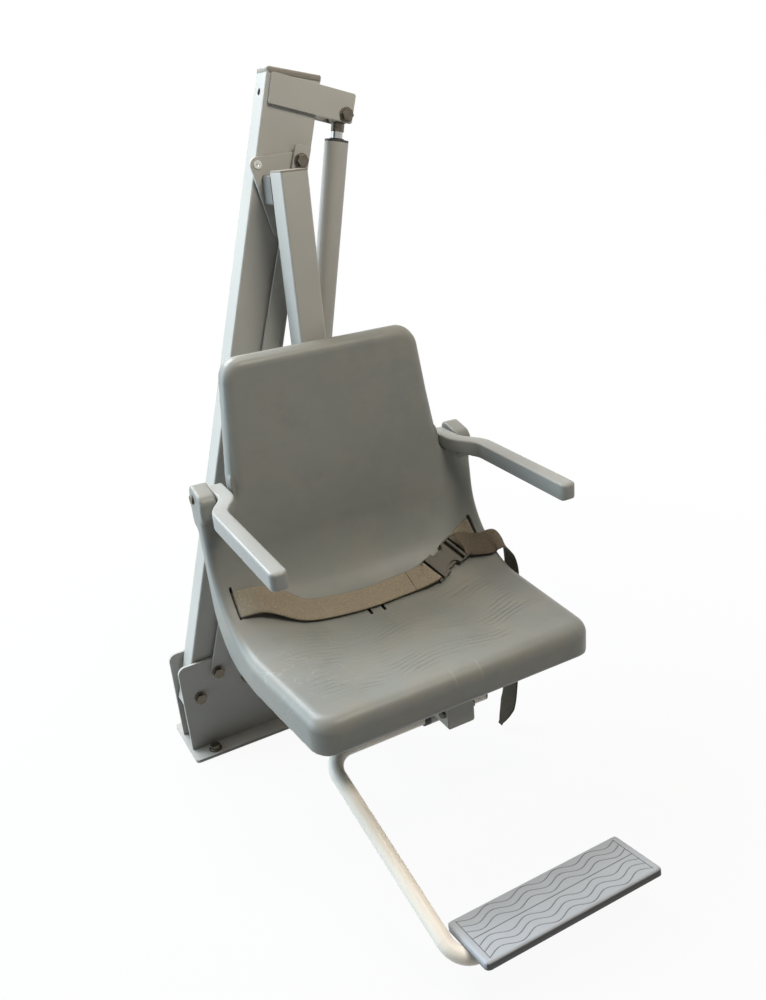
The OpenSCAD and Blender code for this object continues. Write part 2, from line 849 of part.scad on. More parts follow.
module seat_side() {
    t = back_tilt;
    rim = [-bend_y + bend_r * cos(t), bend_z - bend_r * sin(t)];
    run = (back_top - rim[1]) / cos(t);
    crest = rim + run * [sin(t), cos(t)];
    heel_z = seat_z + outer_r;
    heel_y = rim[0] + (heel_z - rim[1]) * tan(t) + (back_t - outer_r) / cos(t);
    polygon(concat(
        arc(-seat_front + edge_r / 2, seat_z + edge_r / 2, edge_r / 2, 270, 180, 5),
        arc(-seat_front + edge_r, rim_z - edge_r, edge_r, 180, 90, 7),
        arc(-bend_y, bend_z, bend_r, -90, -t, 14),
        arc(crest[0] + edge_r * 2 / 3, crest[1] - edge_r * 2 / 3, edge_r * 2 / 3, 180 - t, 90 - t, 5),
        arc(crest[0] + back_t - edge_r / 2, crest[1] - edge_r / 2, edge_r / 2, 90 - t, -t, 4),
        arc(heel_y, heel_z, outer_r, -t, -90, 10)
    ));
}

module seat_front_view() {
    low_half = seat_w / 2;
    panel_half = back_low_w / 2;
    lug_w = low_half - lug_in;
    translate([-low_half, seat_z - cut]) square([seat_w, notch_floor - seat_z + cut]);
    for (s = [0, 1]) mirror([s, 0]) {
        translate([lug_in + lug_w / 2, (notch_floor + lug_top) / 2 - wing_r])
            rounded(lug_w, lug_top - notch_floor + 2 * wing_r, corner_r * 2);
    }
    hull() {
        translate([-panel_half, notch_floor - cut]) square([2 * panel_half, lug_top - notch_floor]);
        for (s = [0, 1]) mirror([s, 0])
            translate([back_top_w / 2 - top_corner_r, back_top - top_corner_r])
                circle(r = top_corner_r, $fn = round_fn);
    }
}

module seat_plan() {
    hull() {
        translate([-seat_w / 2, -bend_y]) square([seat_w, bend_y]);
        for (s = [0, 1]) mirror([s, 0])
            translate([seat_front_w / 2 - front_corner_r, front_corner_r - seat_front])
                circle(r = front_corner_r, $fn = round_fn);
    }
}

module seat_dish() {
    translate([0, -bend_y, bend_z]) rotate([0, 90, 0]) rotate_extrude() intersection() {
        translate([bend_r + dish - dish_r, 0]) circle(r = dish_r, $fn = dish_fn);
        translate([0, -seat_w / 2]) square([bend_r + 2 * dish, seat_w]);
    }
}

module at_bend(angle) {
    translate([0, -bend_y, bend_z]) rotate([angle, 0, 0]) children();
}

module seat_lug() {
    mid = (lug_front_y + lug_back_y) / 2;
    tall = lug_top - lug_low_z;
    translate([lug_in, 0, 0]) rotate([90, 0, 90]) linear_extrude(height = seat_w / 2 - lug_in)
        translate([-mid, lug_top - tall / 2]) rounded(lug_front_y - lug_back_y, tall, wing_r);
}

module seat_shell() {
    color(plastic_col) in_seat() difference() {
        union() {
            difference() {
                intersection() {
                    extrude_x(seat_w) seat_side();
                    plate_xz(-seat_front - cut, 0) seat_front_view();
                    translate([0, 0, seat_z - cut]) linear_extrude(height = back_top) seat_plan();
                }
                seat_dish();
            }
            for (s = [0, 1]) mirror([s, 0, 0]) seat_lug();
        }
        for (s = [0, 1]) mirror([s, 0, 0]) {
            translate([0, -arm_pin_y, arm_pin_z])
                x_cyl(arm_pin_d, seat_w / 2 - arm_pin_len, seat_w / 2 + cut);
            at_bend(slot_angle) translate([slot_x - slot_t / 2, -(belt_w + slot_t) / 2, -2 * bend_r])
                cube([slot_t, belt_w + slot_t, bend_r + 2 * dish]);
        }
        for (s = [-1, 1]) translate([s * drain_gap / 2 - drain_w / 2, -drain_y, seat_z - cut])
            cube([drain_w, drain_l, seat_rim + 2 * cut]);
        rail_places() translate([0, 0, seat_z - cut]) cylinder(d = rail_screw_d, h = rail_screw_len);
    }
}

module armrest_pins() {
    head = 3;
    color(steel_col) in_seat() for (s = [0, 1]) mirror([s, 0, 0])
        translate([0, -arm_pin_y, arm_pin_z]) {
            x_cyl(arm_pin_d, seat_w / 2 - arm_pin_len, seat_w / 2);
            x_cyl(2 * arm_pin_d, seat_w / 2, seat_w / 2 + head);
        }
}

// belt

module belt_strap(x0, x1) {
    at_bend(slot_angle) {
        translate([min(x0, x1), -belt_w / 2, -belt_top]) cube([abs(x1 - x0), belt_w, belt_t]);
        translate([x0 - belt_t / 2, -belt_w / 2, -belt_top - belt_drop])
            cube([belt_t, belt_w, belt_drop + belt_t]);
    }
}

module belt_left() { color(belt_col) in_seat() belt_strap(-slot_x, buckle_x); }

module belt_right() {
    color(belt_col) in_seat() belt_strap(slot_x, buckle_x + 2 * buckle_l);
}

module belt_tail() {
    side = seat_w / 2 + seat_gap;
    from = buckle_x + 2 * buckle_l;
    lift = 2 * (belt_t + seat_gap);
    level = belt_top - lift;
    mid_y = bend_y - (level - belt_t) * sin(tail_angle);
    mid_z = bend_z - (level - belt_t) * cos(tail_angle);
    reach = belt_w / 2 * [cos(tail_angle), sin(tail_angle)];
    color(belt_col) in_seat() {
        at_bend(tail_angle) translate([from, -belt_w / 2, -level])
            cube([side + belt_t - from, belt_w, belt_t]);
        translate([side, 0, 0]) rotate([90, 0, 90]) linear_extrude(height = belt_t) polygon([
            [-mid_y - belt_w / 2, tail_low], [-mid_y + belt_w / 2, tail_low],
            [-mid_y + reach[0], mid_z + reach[1]], [-mid_y - reach[0], mid_z - reach[1]]]);
    }
}

module at_buckle(x) {
    at_bend(slot_angle) translate([x, 0, buckle_t / 2 - belt_top]) children();
}

module buckle_socket() {
    wall = 2;
    mouth_w = buckle_w - 4 * wall;
    window = buckle_l / 2;
    color(dark_col) in_seat() at_buckle(buckle_x) difference() {
        rotate([90, 0, 90]) linear_extrude(height = buckle_l) rounded(buckle_w, buckle_t, corner_r);
        translate([buckle_l / 4, -mouth_w / 2, wall - buckle_t / 2])
            cube([buckle_l, mouth_w, buckle_t - 2 * wall]);
        for (s = [0, 1]) mirror([0, s, 0])
            translate([window / 2, mouth_w / 2 - cut, wall - buckle_t / 2])
                cube([window, buckle_w, buckle_t - 2 * wall]);
    }
}

module buckle_tongue() {
    wall = 2;
    prong_w = 8;
    slack = 0.5;
    mouth_w = buckle_w - 4 * wall - 2 * slack;
    prong_t = buckle_t - 2 * wall - 2 * slack;
    reach = buckle_l * prong_share;
    bar = 6;
    color(dark_col) in_seat() at_buckle(buckle_x + buckle_l) {
        difference() {
            translate([seat_gap, 0, 0]) rotate([90, 0, 90]) linear_extrude(height = buckle_l - seat_gap)
                rounded(buckle_w, buckle_t, corner_r);
            for (x = [2 * bar, 2 * bar + buckle_l / 3]) translate([x, -belt_w / 2 - slack, -buckle_t])
                cube([bar, belt_w + 2 * slack, 2 * buckle_t]);
        }
        for (s = [0, 1]) mirror([0, s, 0]) translate([-reach, mouth_w / 2 - prong_w, -prong_t / 2])
            cube([reach + cut, prong_w, prong_t]);
        translate([-reach / 2, -prong_w / 2, -prong_t / 2]) cube([reach / 2 + cut, prong_w, prong_t]);
    }
}

// armrests

module armrest_plan() {
    r = armrest_w / 2;
    front_x = armrest_x + armrest_jog;
    tip = arm_pin_y + armrest_len - r;
    translate([armrest_x - r, -jog_start]) square([armrest_w, jog_start - arm_pin_y + armrest_h]);
    hull() {
        translate([armrest_x, -jog_start]) circle(r = r, $fn = round_fn);
        translate([front_x, -jog_end]) circle(r = r, $fn = round_fn);
    }
    hull() {
        translate([front_x, -jog_end]) circle(r = r, $fn = round_fn);
        translate([front_x, -tip]) circle(r = r, $fn = round_fn);
    }
}

module armrest_side() {
    tip_r = armrest_h * armrest_tip_share;
    hull() {
        circle(d = armrest_h, $fn = round_fn);
        translate([-armrest_len + tip_r, armrest_h / 2 - tip_r]) circle(r = tip_r, $fn = round_fn);
        translate([-armrest_len + tip_r * 2, tip_r - armrest_h / 2]) circle(r = tip_r, $fn = round_fn);
    }
}

module armrest() {
    color(arm_col) translate([0, -arm_pin_y, arm_pin_z]) rotate([armrest_tilt, 0, 0]) difference() {
        intersection() {
            translate([0, arm_pin_y, -armrest_h]) linear_extrude(height = 2 * armrest_h) armrest_plan();
            extrude_x(seat_w) armrest_side();
        }
        x_cyl(arm_pin_d + 2 * run_gap, 0, seat_w / 2);
    }
}

module armrest_left() { in_seat() mirror([1, 0, 0]) armrest(); }

module armrest_right() { in_seat() armrest(); }

// footrest

module footrest_sleeve() {
    pad = 24;
    color(frame_col) in_seat() translate([0, -foot_axis_y, foot_axis_z]) difference() {
        union() {
            x_cyl(sleeve_od, -sleeve_len / 2, sleeve_len / 2);
            translate([-sleeve_len / 2, -pad / 2, 0]) cube([sleeve_len, pad, sleeve_od / 2]);
        }
        x_cyl(foot_tube_d + 2 * run_gap, -sleeve_len, sleeve_len);
    }
}

module footrest_collars() {
    wide = 10;
    color(dark_col) in_seat() translate([0, -foot_axis_y, foot_axis_z]) for (s = [0, 1])
        mirror([s, 0, 0]) difference() {
            x_cyl(sleeve_od, sleeve_len / 2 + seat_gap, sleeve_len / 2 + seat_gap + wide);
            x_cyl(foot_tube_d, 0, sleeve_len);
        }
}

module straight(d, length) {
    linear_extrude(height = length) circle(d = d);
}

module elbow(d, angle) {
    rotate([0, 0, -bend_lap]) rotate_extrude(angle = angle + 2 * bend_lap)
        translate([foot_bend_r, 0]) circle(d = d - bend_thin);
}

module foot_path(d, past) {
    translate([leg_bend_x, 0, 0]) rotate([0, 90, 0]) straight(d, lateral_dx - leg_bend_x + past);
    translate([leg_bend_x, -foot_bend_r, 0]) rotate([0, 0, 90]) {
        elbow(d, 90 + leg_skew);
        rotate([0, 0, 90 + leg_skew]) {
            translate([foot_bend_r, 0, 0]) rotate([-90, 0, 0]) straight(d, leg_run);
            translate([0, leg_run, 0]) {
                elbow(d, 90 - leg_skew);
                rotate([0, 0, 90 - leg_skew]) translate([foot_bend_r, 0, 0]) rotate([-90, 0, 0])
                    straight(d, low_run + past);
            }
        }
    }
}

module footrest_tube() {
    color(white_col) in_footrest() difference() {
        foot_path(foot_tube_d, 0);
        foot_path(foot_tube_d - 2 * foot_wall, cut);
    }
}

module footrest_plate() {
    skin = 4;
    rib = 4;
    cells = 6;
    pocket = (foot_len - rib * (cells + 1)) / cells;
    color(foot_col) in_foot_plate() difference() {
        translate([foot_len / 2, foot_w / 2, -foot_t]) intersection() {
            linear_extrude(height = foot_t) rounded(foot_len, foot_w, foot_corner_r);
            rotate([90, 0, 90]) translate([0, 0, -foot_len / 2]) linear_extrude(height = foot_len)
                rounded(foot_w, 2 * foot_t, foot_edge_r);
            rotate([90, 0, 0]) translate([0, 0, -foot_w / 2]) linear_extrude(height = foot_w)
                rounded(foot_len, 2 * foot_t, foot_edge_r);
        }
        for (i = [0:cells - 1], j = [0, 1]) if (abs(i - (cells - 1) / 2) != (cells - 1) / 2 - 1)
            translate([rib + i * (pocket + rib), rib + j * foot_w / 2, -foot_t - cut])
                cube([pocket, foot_w / 2 - 2 * rib, foot_t - skin + cut]);
        saddle_screw_places() translate([0, 0, -foot_t - cut])
            cylinder(d = foot_screw_d, h = foot_screw_depth + cut);
    }
}

module saddle_places() {
    for (share = saddle_shares) translate([share * foot_len, foot_w / 2, 0]) children();
}

module saddle_screw_places() {
    saddle_places() for (s = [-1, 1]) translate([0, s * saddle_screw_y, 0]) children();
}

module footrest_saddles() {
    color(frame_col) in_foot_plate() saddle_places() difference() {
        union() {
            translate([0, 0, low_w]) x_cyl(foot_tube_d + 2 * saddle_t, -saddle_w / 2, saddle_w / 2);
            translate([-saddle_w / 2, -saddle_l / 2, -foot_t - saddle_t])
                cube([saddle_w, saddle_l, saddle_t]);
        }
        translate([0, 0, low_w]) x_cyl(foot_tube_d, -saddle_w, saddle_w);
        translate([-saddle_w, -saddle_l, -foot_t]) cube([2 * saddle_w, 2 * saddle_l, foot_t]);
        for (s = [-1, 1]) translate([0, s * saddle_screw_y, -foot_t - saddle_t - cut])
            cylinder(d = foot_screw_d + 2 * run_gap, h = saddle_t + 2 * cut);
    }
}

module footrest_screws() {
    head = 3;
    color(steel_col) in_foot_plate() saddle_screw_places() translate([0, 0, -foot_t - saddle_t]) {
        cylinder(d = foot_screw_d, h = saddle_t + foot_screw_depth - cut);
        translate([0, 0, -head]) cylinder(d = 2 * foot_screw_d, h = head);
    }
}

module tube_plugs() {
    depth = 12;
    color(dark_col) in_footrest()
        for (end = [[lateral_dx, 0], [low_right, -leg_len]]) translate([0, end[1], 0]) {
            x_cyl(foot_tube_d, end[0], end[0] + cap_t);
            x_cyl(foot_tube_d - 2 * foot_wall, end[0] - depth, end[0]);
        }
}

base_plate();
front_ear();
rear_ear();
deck_anchors();
pivot_bolts();
pivot_nuts();
stop_bumper();
foot_pin_stubs();
mast_tube();
mast_cap();
pivot_sleeve();
pivot_bushes();
hanger_sleeve();
hanger_bushes();
arm_front_plate();
arm_rear_plate();
arm_bolt();
arm_nut();
arm_spacers();
rod_eye();
piston_rod();
piston();
barrel_tube();
barrel_gland();
rod_wiper();
barrel_foot();
foot_bush();
link_bar();
link_bushes();
bracket_plate();
hanger_pin();
hanger_nut();
lock_bush();
link_top_bolt();
standoff();
seat_post();
post_cap();
seat_arm();
arm_end_cap();
arm_cross_bolt();
seat_rails();
rail_screws();
seat_shell();
armrest_pins();
belt_left();
belt_right();
belt_tail();
buckle_socket();
buckle_tongue();
armrest_left();
armrest_right();
footrest_sleeve();
footrest_tube();
footrest_plate();
footrest_saddles();
footrest_screws();
tube_plugs();
footrest_collars();
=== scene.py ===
import bpy
import bmesh
import math
import numpy as np
from mathutils import Matrix, Vector

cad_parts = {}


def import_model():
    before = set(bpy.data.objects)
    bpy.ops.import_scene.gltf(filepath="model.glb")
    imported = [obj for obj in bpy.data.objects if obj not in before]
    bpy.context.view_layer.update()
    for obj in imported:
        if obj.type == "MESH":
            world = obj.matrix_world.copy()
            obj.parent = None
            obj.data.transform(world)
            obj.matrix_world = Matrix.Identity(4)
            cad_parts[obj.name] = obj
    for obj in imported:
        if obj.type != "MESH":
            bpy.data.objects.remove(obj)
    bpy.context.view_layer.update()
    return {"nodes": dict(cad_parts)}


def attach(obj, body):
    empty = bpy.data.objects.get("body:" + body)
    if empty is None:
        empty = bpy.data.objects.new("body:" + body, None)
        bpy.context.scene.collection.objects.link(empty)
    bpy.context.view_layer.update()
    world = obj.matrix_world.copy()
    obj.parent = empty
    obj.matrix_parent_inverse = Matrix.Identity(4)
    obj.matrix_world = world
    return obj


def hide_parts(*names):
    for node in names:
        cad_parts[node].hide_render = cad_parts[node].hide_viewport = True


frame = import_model()

MM = 0.001
TURN = 2 * math.pi

# Measures of the CAD seat

# A run is measured in mm along the seat's middle line: from the front edge over the pan, round the bend
# and up the back.
SEAT_X = 0.17386                    # middle of the seat, in metres
BEND_Y, BEND_Z = -0.34269, 0.501    # axis of the bend, in metres
BEND_R = 150.0                      # radius of the sitting surface in the bend
BEND_A = math.radians(84.5)         # angle of the bend
PAN_RUN, BACK_RUN = 233.3, 454.5    # runs at which the bend starts and ends
WING_RUN, END_RUN = 539, 783.4      # runs of the wings' top and of the back's top edge
PAN_Z, FRONT_Y = 351, 576           # height of the pan, and its front edge's distance from the origin
FRONT_HALF, PAN_HALF = 262, 276.0   # half widths at the front corners and from the bend on
WAIST_HALF, TOP_HALF = 212, 190     # half widths of the back over the wings and at its top
FRONT_R, TOP_R = 42.0, 38.0         # radii of the outline's corners


# Node helpers
class Net:
    """A material's nodes, made with short calls. A value is a number or the socket of another node."""

    def __init__(self, name):
        self.mat = bpy.data.materials.new(name)
        self.mat.use_nodes = True
        self.nt = self.mat.node_tree
        self.nt.nodes.clear()
        self.out = self.node("OutputMaterial")
        self.bsdf = self.node("BsdfPrincipled")
        self.link(self.bsdf.outputs[0], self.out.inputs[0])
        self.coord = self.node("TexCoord")
        self.xyz = None

    def node(self, kind, **inputs):
        n = self.nt.nodes.new("ShaderNode" + kind)
        for name, value in inputs.items():
            n.inputs[name.replace("_", " ")].default_value = value
        return n

    def link(self, a, b):
        self.nt.links.new(a, b)

    def put(self, socket, value):
        if isinstance(value, bpy.types.NodeSocket):
            self.link(value, socket)
        else:
            socket.default_value = value

    def set(self, **values):
        for name, value in values.items():
            self.put(self.bsdf.inputs[name.replace("_", " ")], value)
        return self.mat

    def math(self, op, *args):
        n = self.node("Math")
        n.operation = op
        for i, a in enumerate(args):
            self.put(n.inputs[i], a)
        return n.outputs[0]

    def add(self, a, b):
        return self.math("ADD", a, b)

    def sub(self, a, b):
        return self.math("SUBTRACT", a, b)

    def mul(self, a, b):
        return self.math("MULTIPLY", a, b)

    def off(self, a, b):
        """How far one value is from another."""
        return self.math("ABSOLUTE", self.sub(a, b))

    def wave(self, a, period):
        return self.math("SINE", self.mul(a, TURN / period))

    def noise(self, scale, detail=3.0, rough=0.5, stretch=(1, 1, 1), distort=0.0):
        m = self.node("Mapping", Scale=stretch)
        self.link(self.coord.outputs["Object"], m.inputs["Vector"])
        n = self.node("TexNoise", Scale=scale, Detail=detail, Roughness=rough, Distortion=distort)
        self.link(m.outputs[0], n.inputs["Vector"])
        return n.outputs[0]

    def ramp(self, fac, lo, hi, a=0.0, b=1.0):
        """Goes from a to b while fac goes from lo to hi."""
        n = self.node("MapRange", From_Min=lo, From_Max=hi, To_Min=a, To_Max=b)
        n.clamp = True
        self.put(n.inputs["Value"], fac)
        return n.outputs[0]

    def mix(self, fac, a, b):
        n = self.node("Mix")
        n.data_type = "RGBA"
        self.put(n.inputs[0], fac)
        for sock, c in ((n.inputs[6], a), (n.inputs[7], b)):
            self.put(sock, c if isinstance(c, bpy.types.NodeSocket) else (*c, 1.0))
        return n.outputs[2]

    def parts(self, kind):
        n = self.node("SeparateXYZ")
        self.link(self.coord.outputs[kind], n.inputs[0])
        return n.outputs[0:3]

    def axes(self):
        if self.xyz is None:
            self.xyz = self.parts("Object")
        return self.xyz

    def bevel(self, radius):
        n = self.node("Bevel", Radius=radius)
        n.samples = 6
        return n.outputs[0]

    def edge(self, radius):
        """1 along the edges, 0 on the faces."""
        true = self.node("NewGeometry").outputs["True Normal"]
        d = self.node("VectorMath")
        d.operation = "DOT_PRODUCT"
        self.link(self.bevel(radius), d.inputs[0])
        self.link(true, d.inputs[1])
        return self.ramp(self.sub(1.0, d.outputs["Value"]), 0.02, 0.25)

    def bump(self, height, strength, distance, round_edge=0.0, normal=None):
        n = self.node("Bump", Strength=strength, Distance=distance)
        self.link(height, n.inputs["Height"])
        if round_edge:
            normal = self.bevel(round_edge)
        if normal is not None:
            self.link(normal, n.inputs["Normal"])
        return n.outputs[0]


def scaled(c, k):
    return tuple(min(1.0, v * k) for v in c)


# Kinds of material
SATIN = 0.22    # specular level of paint and plastic, which mirror little of the white backdrop
WOVEN = 0.12    # and of webbing


def powder(name, colour, rough=0.42, wear=(0.20, 0.18, 0.16), chips=0.5):
    """Powder coating with a fine orange peel, faint stains and chipped edges."""
    n = Net(name)
    broad = n.noise(3.5, 3.0, 0.55)
    fine = n.noise(900.0, 2.0, 0.6)
    tint = n.mix(n.ramp(broad, 0.35, 0.68), scaled(colour, 0.93), scaled(colour, 1.05))
    stain = n.ramp(n.noise(26.0, 5.0, 0.7), 0.60, 0.78, 0.0, 0.22)
    tint = n.mix(stain, tint, scaled(colour, 0.72))
    worn = n.mul(n.edge(0.0022), n.ramp(n.noise(60.0, 4.0, 0.65), 0.56, 0.70, 0.0, chips))
    level = n.ramp(broad, 0.3, 0.7, rough - 0.05, rough + 0.06)
    peel = n.add(fine, n.mul(n.noise(220.0, 2.0), 0.8))
    return n.set(Base_Color=n.mix(worn, tint, wear), Metallic=0.0, Specular_IOR_Level=SATIN,
                 Roughness=n.add(level, n.ramp(fine, 0.4, 0.6, -0.02, 0.03)),
                 Normal=n.bump(peel, 0.10, 0.0004, 0.0016))


def metal(name, colour, rough, dirty, grime=(0.09, 0.07, 0.05)):
    """Plated steel with brown grime and brighter edges."""
    n = Net(name)
    broad = n.noise(90.0, 4.0, 0.6)
    stain = n.ramp(n.noise(140.0, 5.0, 0.7), 0.50, 0.68, 0.0, dirty)
    tint = n.mix(n.ramp(broad, 0.35, 0.65), scaled(colour, 0.85), scaled(colour, 1.12))
    tint = n.mix(stain, tint, grime)
    level = n.ramp(broad, 0.3, 0.7, rough - 0.07, rough + 0.08)
    return n.set(Base_Color=n.mix(n.mul(n.edge(0.0012), 0.5), tint, scaled(colour, 1.6)), Metallic=1.0,
                 Roughness=n.add(level, n.mul(stain, 0.25)),
                 Normal=n.bump(n.noise(700.0, 3.0, 0.6), 0.12, 0.0003, 0.0008))


def turned(name, colour, rough):
    """Bright metal with the fine rings of a lathe."""
    n = Net(name)
    rings = n.noise(60.0, 3.0, 0.6, stretch=(1, 1, 40))
    return n.set(Base_Color=n.mix(n.ramp(rings, 0.3, 0.7), scaled(colour, 0.9), colour), Metallic=1.0,
                 Roughness=n.ramp(rings, 0.3, 0.7, rough - 0.04, rough + 0.06),
                 Normal=n.bump(rings, 0.05, 0.0002))


def moulded(name, colour, rough, grain, size, spread=0.06, scuff=0.25, marks=None, height=None, depth=0.0):
    """Moulded plastic with a fine grain and paler rubbed patches.
    marks adds to its tint, height to its relief."""
    n = Net(name)
    broad = n.noise(5.0, 3.0, 0.5)
    tint = n.mix(n.ramp(broad, 0.32, 0.68), scaled(colour, 1 - spread), scaled(colour, 1 + spread))
    rubbed = n.ramp(n.noise(38.0, 6.0, 0.72, distort=0.6), 0.60, 0.80, 0.0, scuff)
    tint = n.mix(rubbed, tint, scaled(colour, 1.22))
    if marks:
        tint = marks(n, tint, colour)
    normal = n.bump(n.noise(size, 2.0, 0.6), grain, 0.0004, 0.0012)
    if height:
        normal = n.bump(height(n), 1.0, depth, normal=normal)
    level = n.ramp(broad, 0.3, 0.7, rough - 0.05, rough + 0.05)
    return n.set(Base_Color=tint, Metallic=0.0, Specular_IOR_Level=SATIN,
                 Roughness=n.add(level, n.mul(rubbed, 0.2)), Normal=normal)


def seat_marks(n, tint, colour, warm=(0.252, 0.238, 0.206)):
    """Warm clouds, darker smudges, pale veins at the left front and two parting lines at the front edge."""
    x, y, z = n.axes()
    clouds = n.ramp(n.noise(11.0, 4.0, 0.6, distort=0.5), 0.45, 0.66, 0.0, 0.75)
    tint = n.mix(clouds, tint, warm)
    smudges = n.ramp(n.noise(16.0, 5.0, 0.65), 0.54, 0.72, 0.0, 0.30)
    tint = n.mix(smudges, tint, scaled(colour, 0.80))
    vein = n.ramp(n.off(n.noise(9.0, 3.0, 0.55, distort=1.4), 0.52), 0.0, 0.010, 1.0, 0.0)
    there = n.mul(n.ramp(x, SEAT_X - 0.15, SEAT_X - 0.06, 1.0, 0.0),
                  n.mul(n.ramp(y, -0.53, -0.47), n.ramp(y, -0.36, -0.30, 1.0, 0.0)))
    tint = n.mix(n.mul(n.mul(vein, there), 0.35), tint, scaled(colour, 1.7))
    for at in (-0.018, 0.030):
        line = n.ramp(n.off(x, SEAT_X + at), 0.0008, 0.0024, 0.28, 0.0)
        line = n.mul(line, n.ramp(z, 0.322, 0.338))
        tint = n.mix(n.mul(line, n.ramp(y, -0.558, -0.546, 1.0, 0.0)), tint, scaled(colour, 1.6))
    return tint


def seat_lines(n):
    """Relief of the seat: faint moulded waves on the pan and faint level lines on the back."""
    pitch, period, swing = 0.0118, 0.200, 0.0105
    x, y, z = n.axes()
    bend = n.mul(n.wave(n.sub(x, SEAT_X - 0.0450), period), swing)
    drift = n.mul(n.sub(n.noise(7.0, 2.0, 0.5), 0.5), 0.040)
    row = n.add(n.sub(n.add(y, drift), bend), 2.0)
    groove = n.sub(1.0, n.ramp(n.off(n.math("MODULO", row, pitch), pitch / 2), 0.0003, 0.0015))
    shown = n.ramp(n.noise(17.0, 2.0, 0.5, stretch=(0.7, 1.0, 1.0)), 0.42, 0.60, 0.05, 1.0)
    inside = n.mul(n.ramp(n.off(x, SEAT_X), 0.195, 0.225, 1.0, 0.0), n.math("LESS_THAN", z, 0.372))
    pan = n.mul(inside, n.mul(n.ramp(y, -0.535, -0.515), n.ramp(y, -0.33, -0.30, 1.0, 0.0)))
    level = n.noise(70.0, 2.0, 0.5, stretch=(0.02, 0.05, 1.0))
    back = n.mul(n.math("GREATER_THAN", z, 0.47), n.ramp(level, 0.45, 0.62, 0.0, 0.10))
    cut = n.mul(n.mul(pan, shown), groove)
    return n.sub(1.0, n.add(n.mul(cut, 0.95), back))


def tread(name, colour, dark):
    """Moulded plastic with painted shade in its grooves, on its long sides and underneath; faintly scuffed
    on its ridges.
    """
    n = Net(name)
    attr = n.node("Attribute")
    attr.attribute_name = "groove"
    broad = n.noise(6.0, 3.0, 0.5)
    scuff = n.ramp(n.noise(45.0, 6.0, 0.7, distort=0.4), 0.55, 0.78, 0.0, 0.22)
    tint = n.mix(n.ramp(broad, 0.32, 0.68), scaled(colour, 0.95), scaled(colour, 1.04))
    tint = n.mix(scuff, tint, scaled(colour, 1.2))
    # painted shade: the "groove" attribute darkens the grooves, the long sides and the underside towards
    # the dark colour
    tint = n.mix(n.ramp(attr.outputs["Fac"], 0.25, 0.95, 0.0, 0.95), tint, dark)
    return n.set(Base_Color=tint, Roughness=n.ramp(broad, 0.3, 0.7, 0.40, 0.50), Specular_IOR_Level=SATIN,
                 Normal=n.bump(n.noise(600.0, 2.0, 0.6), 0.08, 0.0004))


def webbing(name, colour, stitches=(), lines=(), sheen=0.25, shaded_tip=False):
    """Woven strap with a herringbone and selvedges. u runs along it and v across it, in metres.
    stitches are rows of thread, as place and half width, lines are single dark seams, and shaded_tip paints
    shade that darkens the end towards its tip."""
    warp_pitch, weft_pitch, twill_pitch, twill_width = 0.0016, 0.0022, 0.0044, 0.0125
    n = Net(name)
    u, v = n.parts("UV")[0:2]
    warp, weft = n.wave(v, warp_pitch), n.wave(u, weft_pitch)
    zigzag = n.off(n.math("MODULO", n.add(v, 0.2), twill_width), twill_width / 2)
    twill = n.wave(n.add(u, zigzag), twill_pitch)
    weave = n.add(n.mul(n.mul(warp, weft), 0.35), n.add(n.mul(twill, 0.35), n.mul(warp, 0.3)))
    fuzz = n.noise(1800.0, 3.0, 0.7)
    tint = n.mix(n.ramp(weave, -0.8, 0.9), scaled(colour, 0.62), scaled(colour, 1.16))
    tint = n.mix(n.ramp(n.noise(40.0, 4.0, 0.6), 0.4, 0.7, 0.0, 0.35), tint, scaled(colour, 0.78))
    for at, half in stitches:
        near = n.math("LESS_THAN", n.off(u, at), half)
        rows = n.math("GREATER_THAN", n.wave(n.add(u, v), 0.0052), 0.72)
        dash = n.math("GREATER_THAN", n.wave(n.sub(u, v), 0.0034), -0.2)
        tint = n.mix(n.mul(n.mul(near, rows), n.mul(dash, 0.75)), tint, scaled(colour, 0.30))
    for at in lines:
        near = n.math("LESS_THAN", n.off(u, at), 0.0009)
        tint = n.mix(n.mul(near, 0.85), tint, scaled(colour, 0.16))
    dark_specks = n.ramp(n.noise(330.0, 3.0, 0.8), 0.50, 0.64, 0.0, 0.62)
    tint = n.mix(dark_specks, tint, scaled(colour, 0.55))
    pale_specks = n.ramp(n.noise(290.0, 3.0, 0.75, stretch=(1.0, 1.4, 1.0)), 0.54, 0.68, 0.0, 0.55)
    tint = n.mix(pale_specks, tint, scaled(colour, 1.6))
    # painted shade: the strap darkens towards the lower end of its hanging tip
    if shaded_tip:
        tint = n.mix(n.ramp(n.axes()[2], 0.12, 0.34, 0.85, 0.0), tint, scaled(colour, 0.22))
    selvedge = n.ramp(n.math("ABSOLUTE", v), 0.0236, 0.0249, 0.0, 0.55)
    tint = n.mix(selvedge, tint, scaled(colour, 0.35))
    return n.set(Base_Color=tint, Roughness=n.ramp(fuzz, 0.3, 0.7, 0.72, 0.9), Specular_IOR_Level=WOVEN,
                 Sheen_Weight=sheen, Sheen_Roughness=0.5,
                 Normal=n.bump(n.add(weave, n.mul(fuzz, 0.6)), 0.55, 0.0006))


# Materials
PAINT = (0.400, 0.385, 0.350)
WEBBING = (0.340, 0.285, 0.205)
STITCHES = ((0.0, 0.0016), (0.004, 0.0012), (0.026, 0.0016), (0.031, 0.0016))

